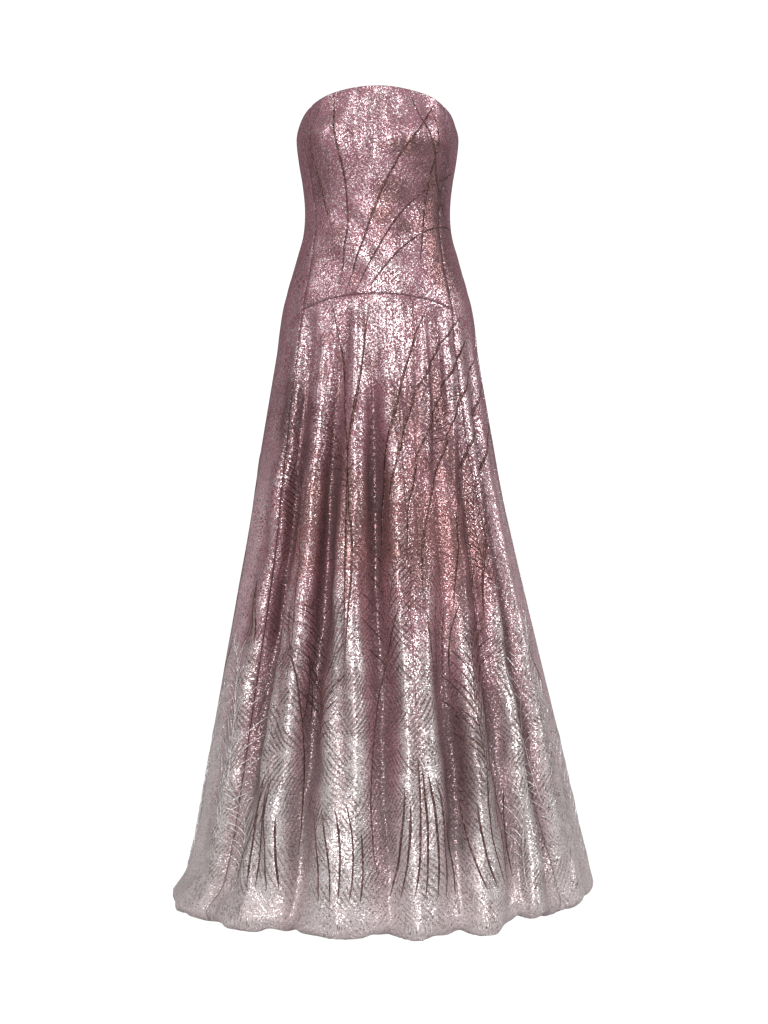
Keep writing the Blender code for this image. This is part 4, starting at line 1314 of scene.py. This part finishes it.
# %% Tape and enamel
TAPE_RIB = 0.8 * MM


def woven_tape():
    made, g = new_material("woven_tape")
    x, _, z = g.split("ShaderNodeSeparateXYZ", g.out("ShaderNodeTexCoord", "Object"))
    weave = wave(x + wave(z, 4.0 * MM) * 0.0002, TAPE_RIB) * 0.7 + wave(z, 0.6 * TAPE_RIB) * 0.3
    colour = g.mix(weave * 0.5 + 0.5, (0.190, 0.095, 0.118, 1), (0.340, 0.205, 0.232, 1))
    bump = g.out("ShaderNodeBump", 0, None, {"Height": weave, "Strength": 0.5, "Distance": 0.0002})
    g.principled({"Base Color": colour, "Roughness": 0.8, "Sheen Weight": 0.3, "Normal": bump})
    return made


def enamelled_metal():
    made, g = new_material("enamelled_metal")
    place = g.out("ShaderNodeTexCoord", "Object")
    cloud = g.noise(place, 420.0, 4.0, 0.6)
    grain = g.noise(place, 2600.0, 2.0, 0.5)
    colour = g.mix(g.smooth(cloud, 0.35, 0.70), (0.400, 0.290, 0.300, 1), (0.560, 0.450, 0.455, 1))
    rough = g.smooth(cloud, 0.30, 0.75, 0.22, 0.40)
    bump = g.out("ShaderNodeBump", 0, None, {"Height": grain, "Strength": 0.15, "Distance": 0.0001})
    sockets = {"Base Color": colour, "Metallic": 0.85, "Roughness": rough, "Coat Weight": 0.4, "Normal": bump}
    g.principled(sockets)
    return made


def coil_thread(name, colour, rough):
    made, g = new_material(name)
    cloud = g.noise(g.out("ShaderNodeTexCoord", "Object"), 900.0, 2.0, 0.5)
    darker = tuple(0.62 * part for part in colour[:3]) + (1,)
    shade = g.mix(g.smooth(cloud, 0.35, 0.65), darker, colour)
    g.principled({"Base Color": shade, "Roughness": rough})
    return made


metal = enamelled_metal()
for node, made in (("zip_tape", woven_tape()), ("zip_slider", metal), ("zip_pull", metal)):
    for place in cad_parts[node].material_slots:
        place.material = made
    print(node, [place.material.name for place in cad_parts[node].material_slots])

# %% [markdown]
# The loops of the coil run across the zip, row after row, shifted to the left and the right in
# turn so that they mesh. The stitches run down both edges of the tape.

# %% Coil and stitches
TAPE_GAP, TAPE_THICKNESS = 0.5 * MM, 0.7 * MM
TAPE_INSIDE = CLOTH + TAPE_GAP + TAPE_THICKNESS
ZIP_FROM, ZIP_TO = 0.045, 1.030
COIL_PITCH, COIL_HALF, COIL_SHIFT = 1.4 * MM, 1.5 * MM, 0.5 * MM
STITCH, STITCH_PITCH, STITCH_ROW = 2.6 * MM, 3.6 * MM, 9.0 * MM


def degrees_behind(metres, stage):
    """The turn that makes this length across the centre back."""
    return np.degrees(metres / np.abs(cloth(180.0 + 0.0 * stage, stage)[..., 1]))


rows = np.arange(ZIP_FROM, ZIP_TO, COIL_PITCH / BODICE_LONG)[:, None]
shift = COIL_SHIFT * np.where(np.arange(len(rows)) % 2, 1, -1)[:, None]
sideways = np.linspace(-COIL_HALF, COIL_HALF, 6)[None, :] + shift
coil = Strand(180.0 + degrees_behind(sideways, rows), rows + 0.0 * sideways, 1.0 * MM)
starts = np.arange(ZIP_FROM, ZIP_TO, STITCH_PITCH / BODICE_LONG)[:, None]
along = starts + np.linspace(0.0, STITCH / BODICE_LONG, 4)[None, :]
stitches = [Strand(180.0 + side * degrees_behind(STITCH_ROW, along), along, 0.5 * MM) for side in (-1, 1)]
for name, groups, rise, made in (
    ("zip_coil", [coil], 0.6 * MM, coil_thread("coil_nylon", (0.340, 0.200, 0.225, 1), 0.35)),
    ("zip_stitches", stitches, 0.25 * MM, coil_thread("sewing_thread", (0.470, 0.330, 0.350, 1), 0.6)),
):
    bead_lines(name, groups, rise, made, TAPE_INSIDE)

# %% [markdown]
# The creased shells differ from the solids by a few millimetres, because the creases lie on
# the solids' plain cloth.
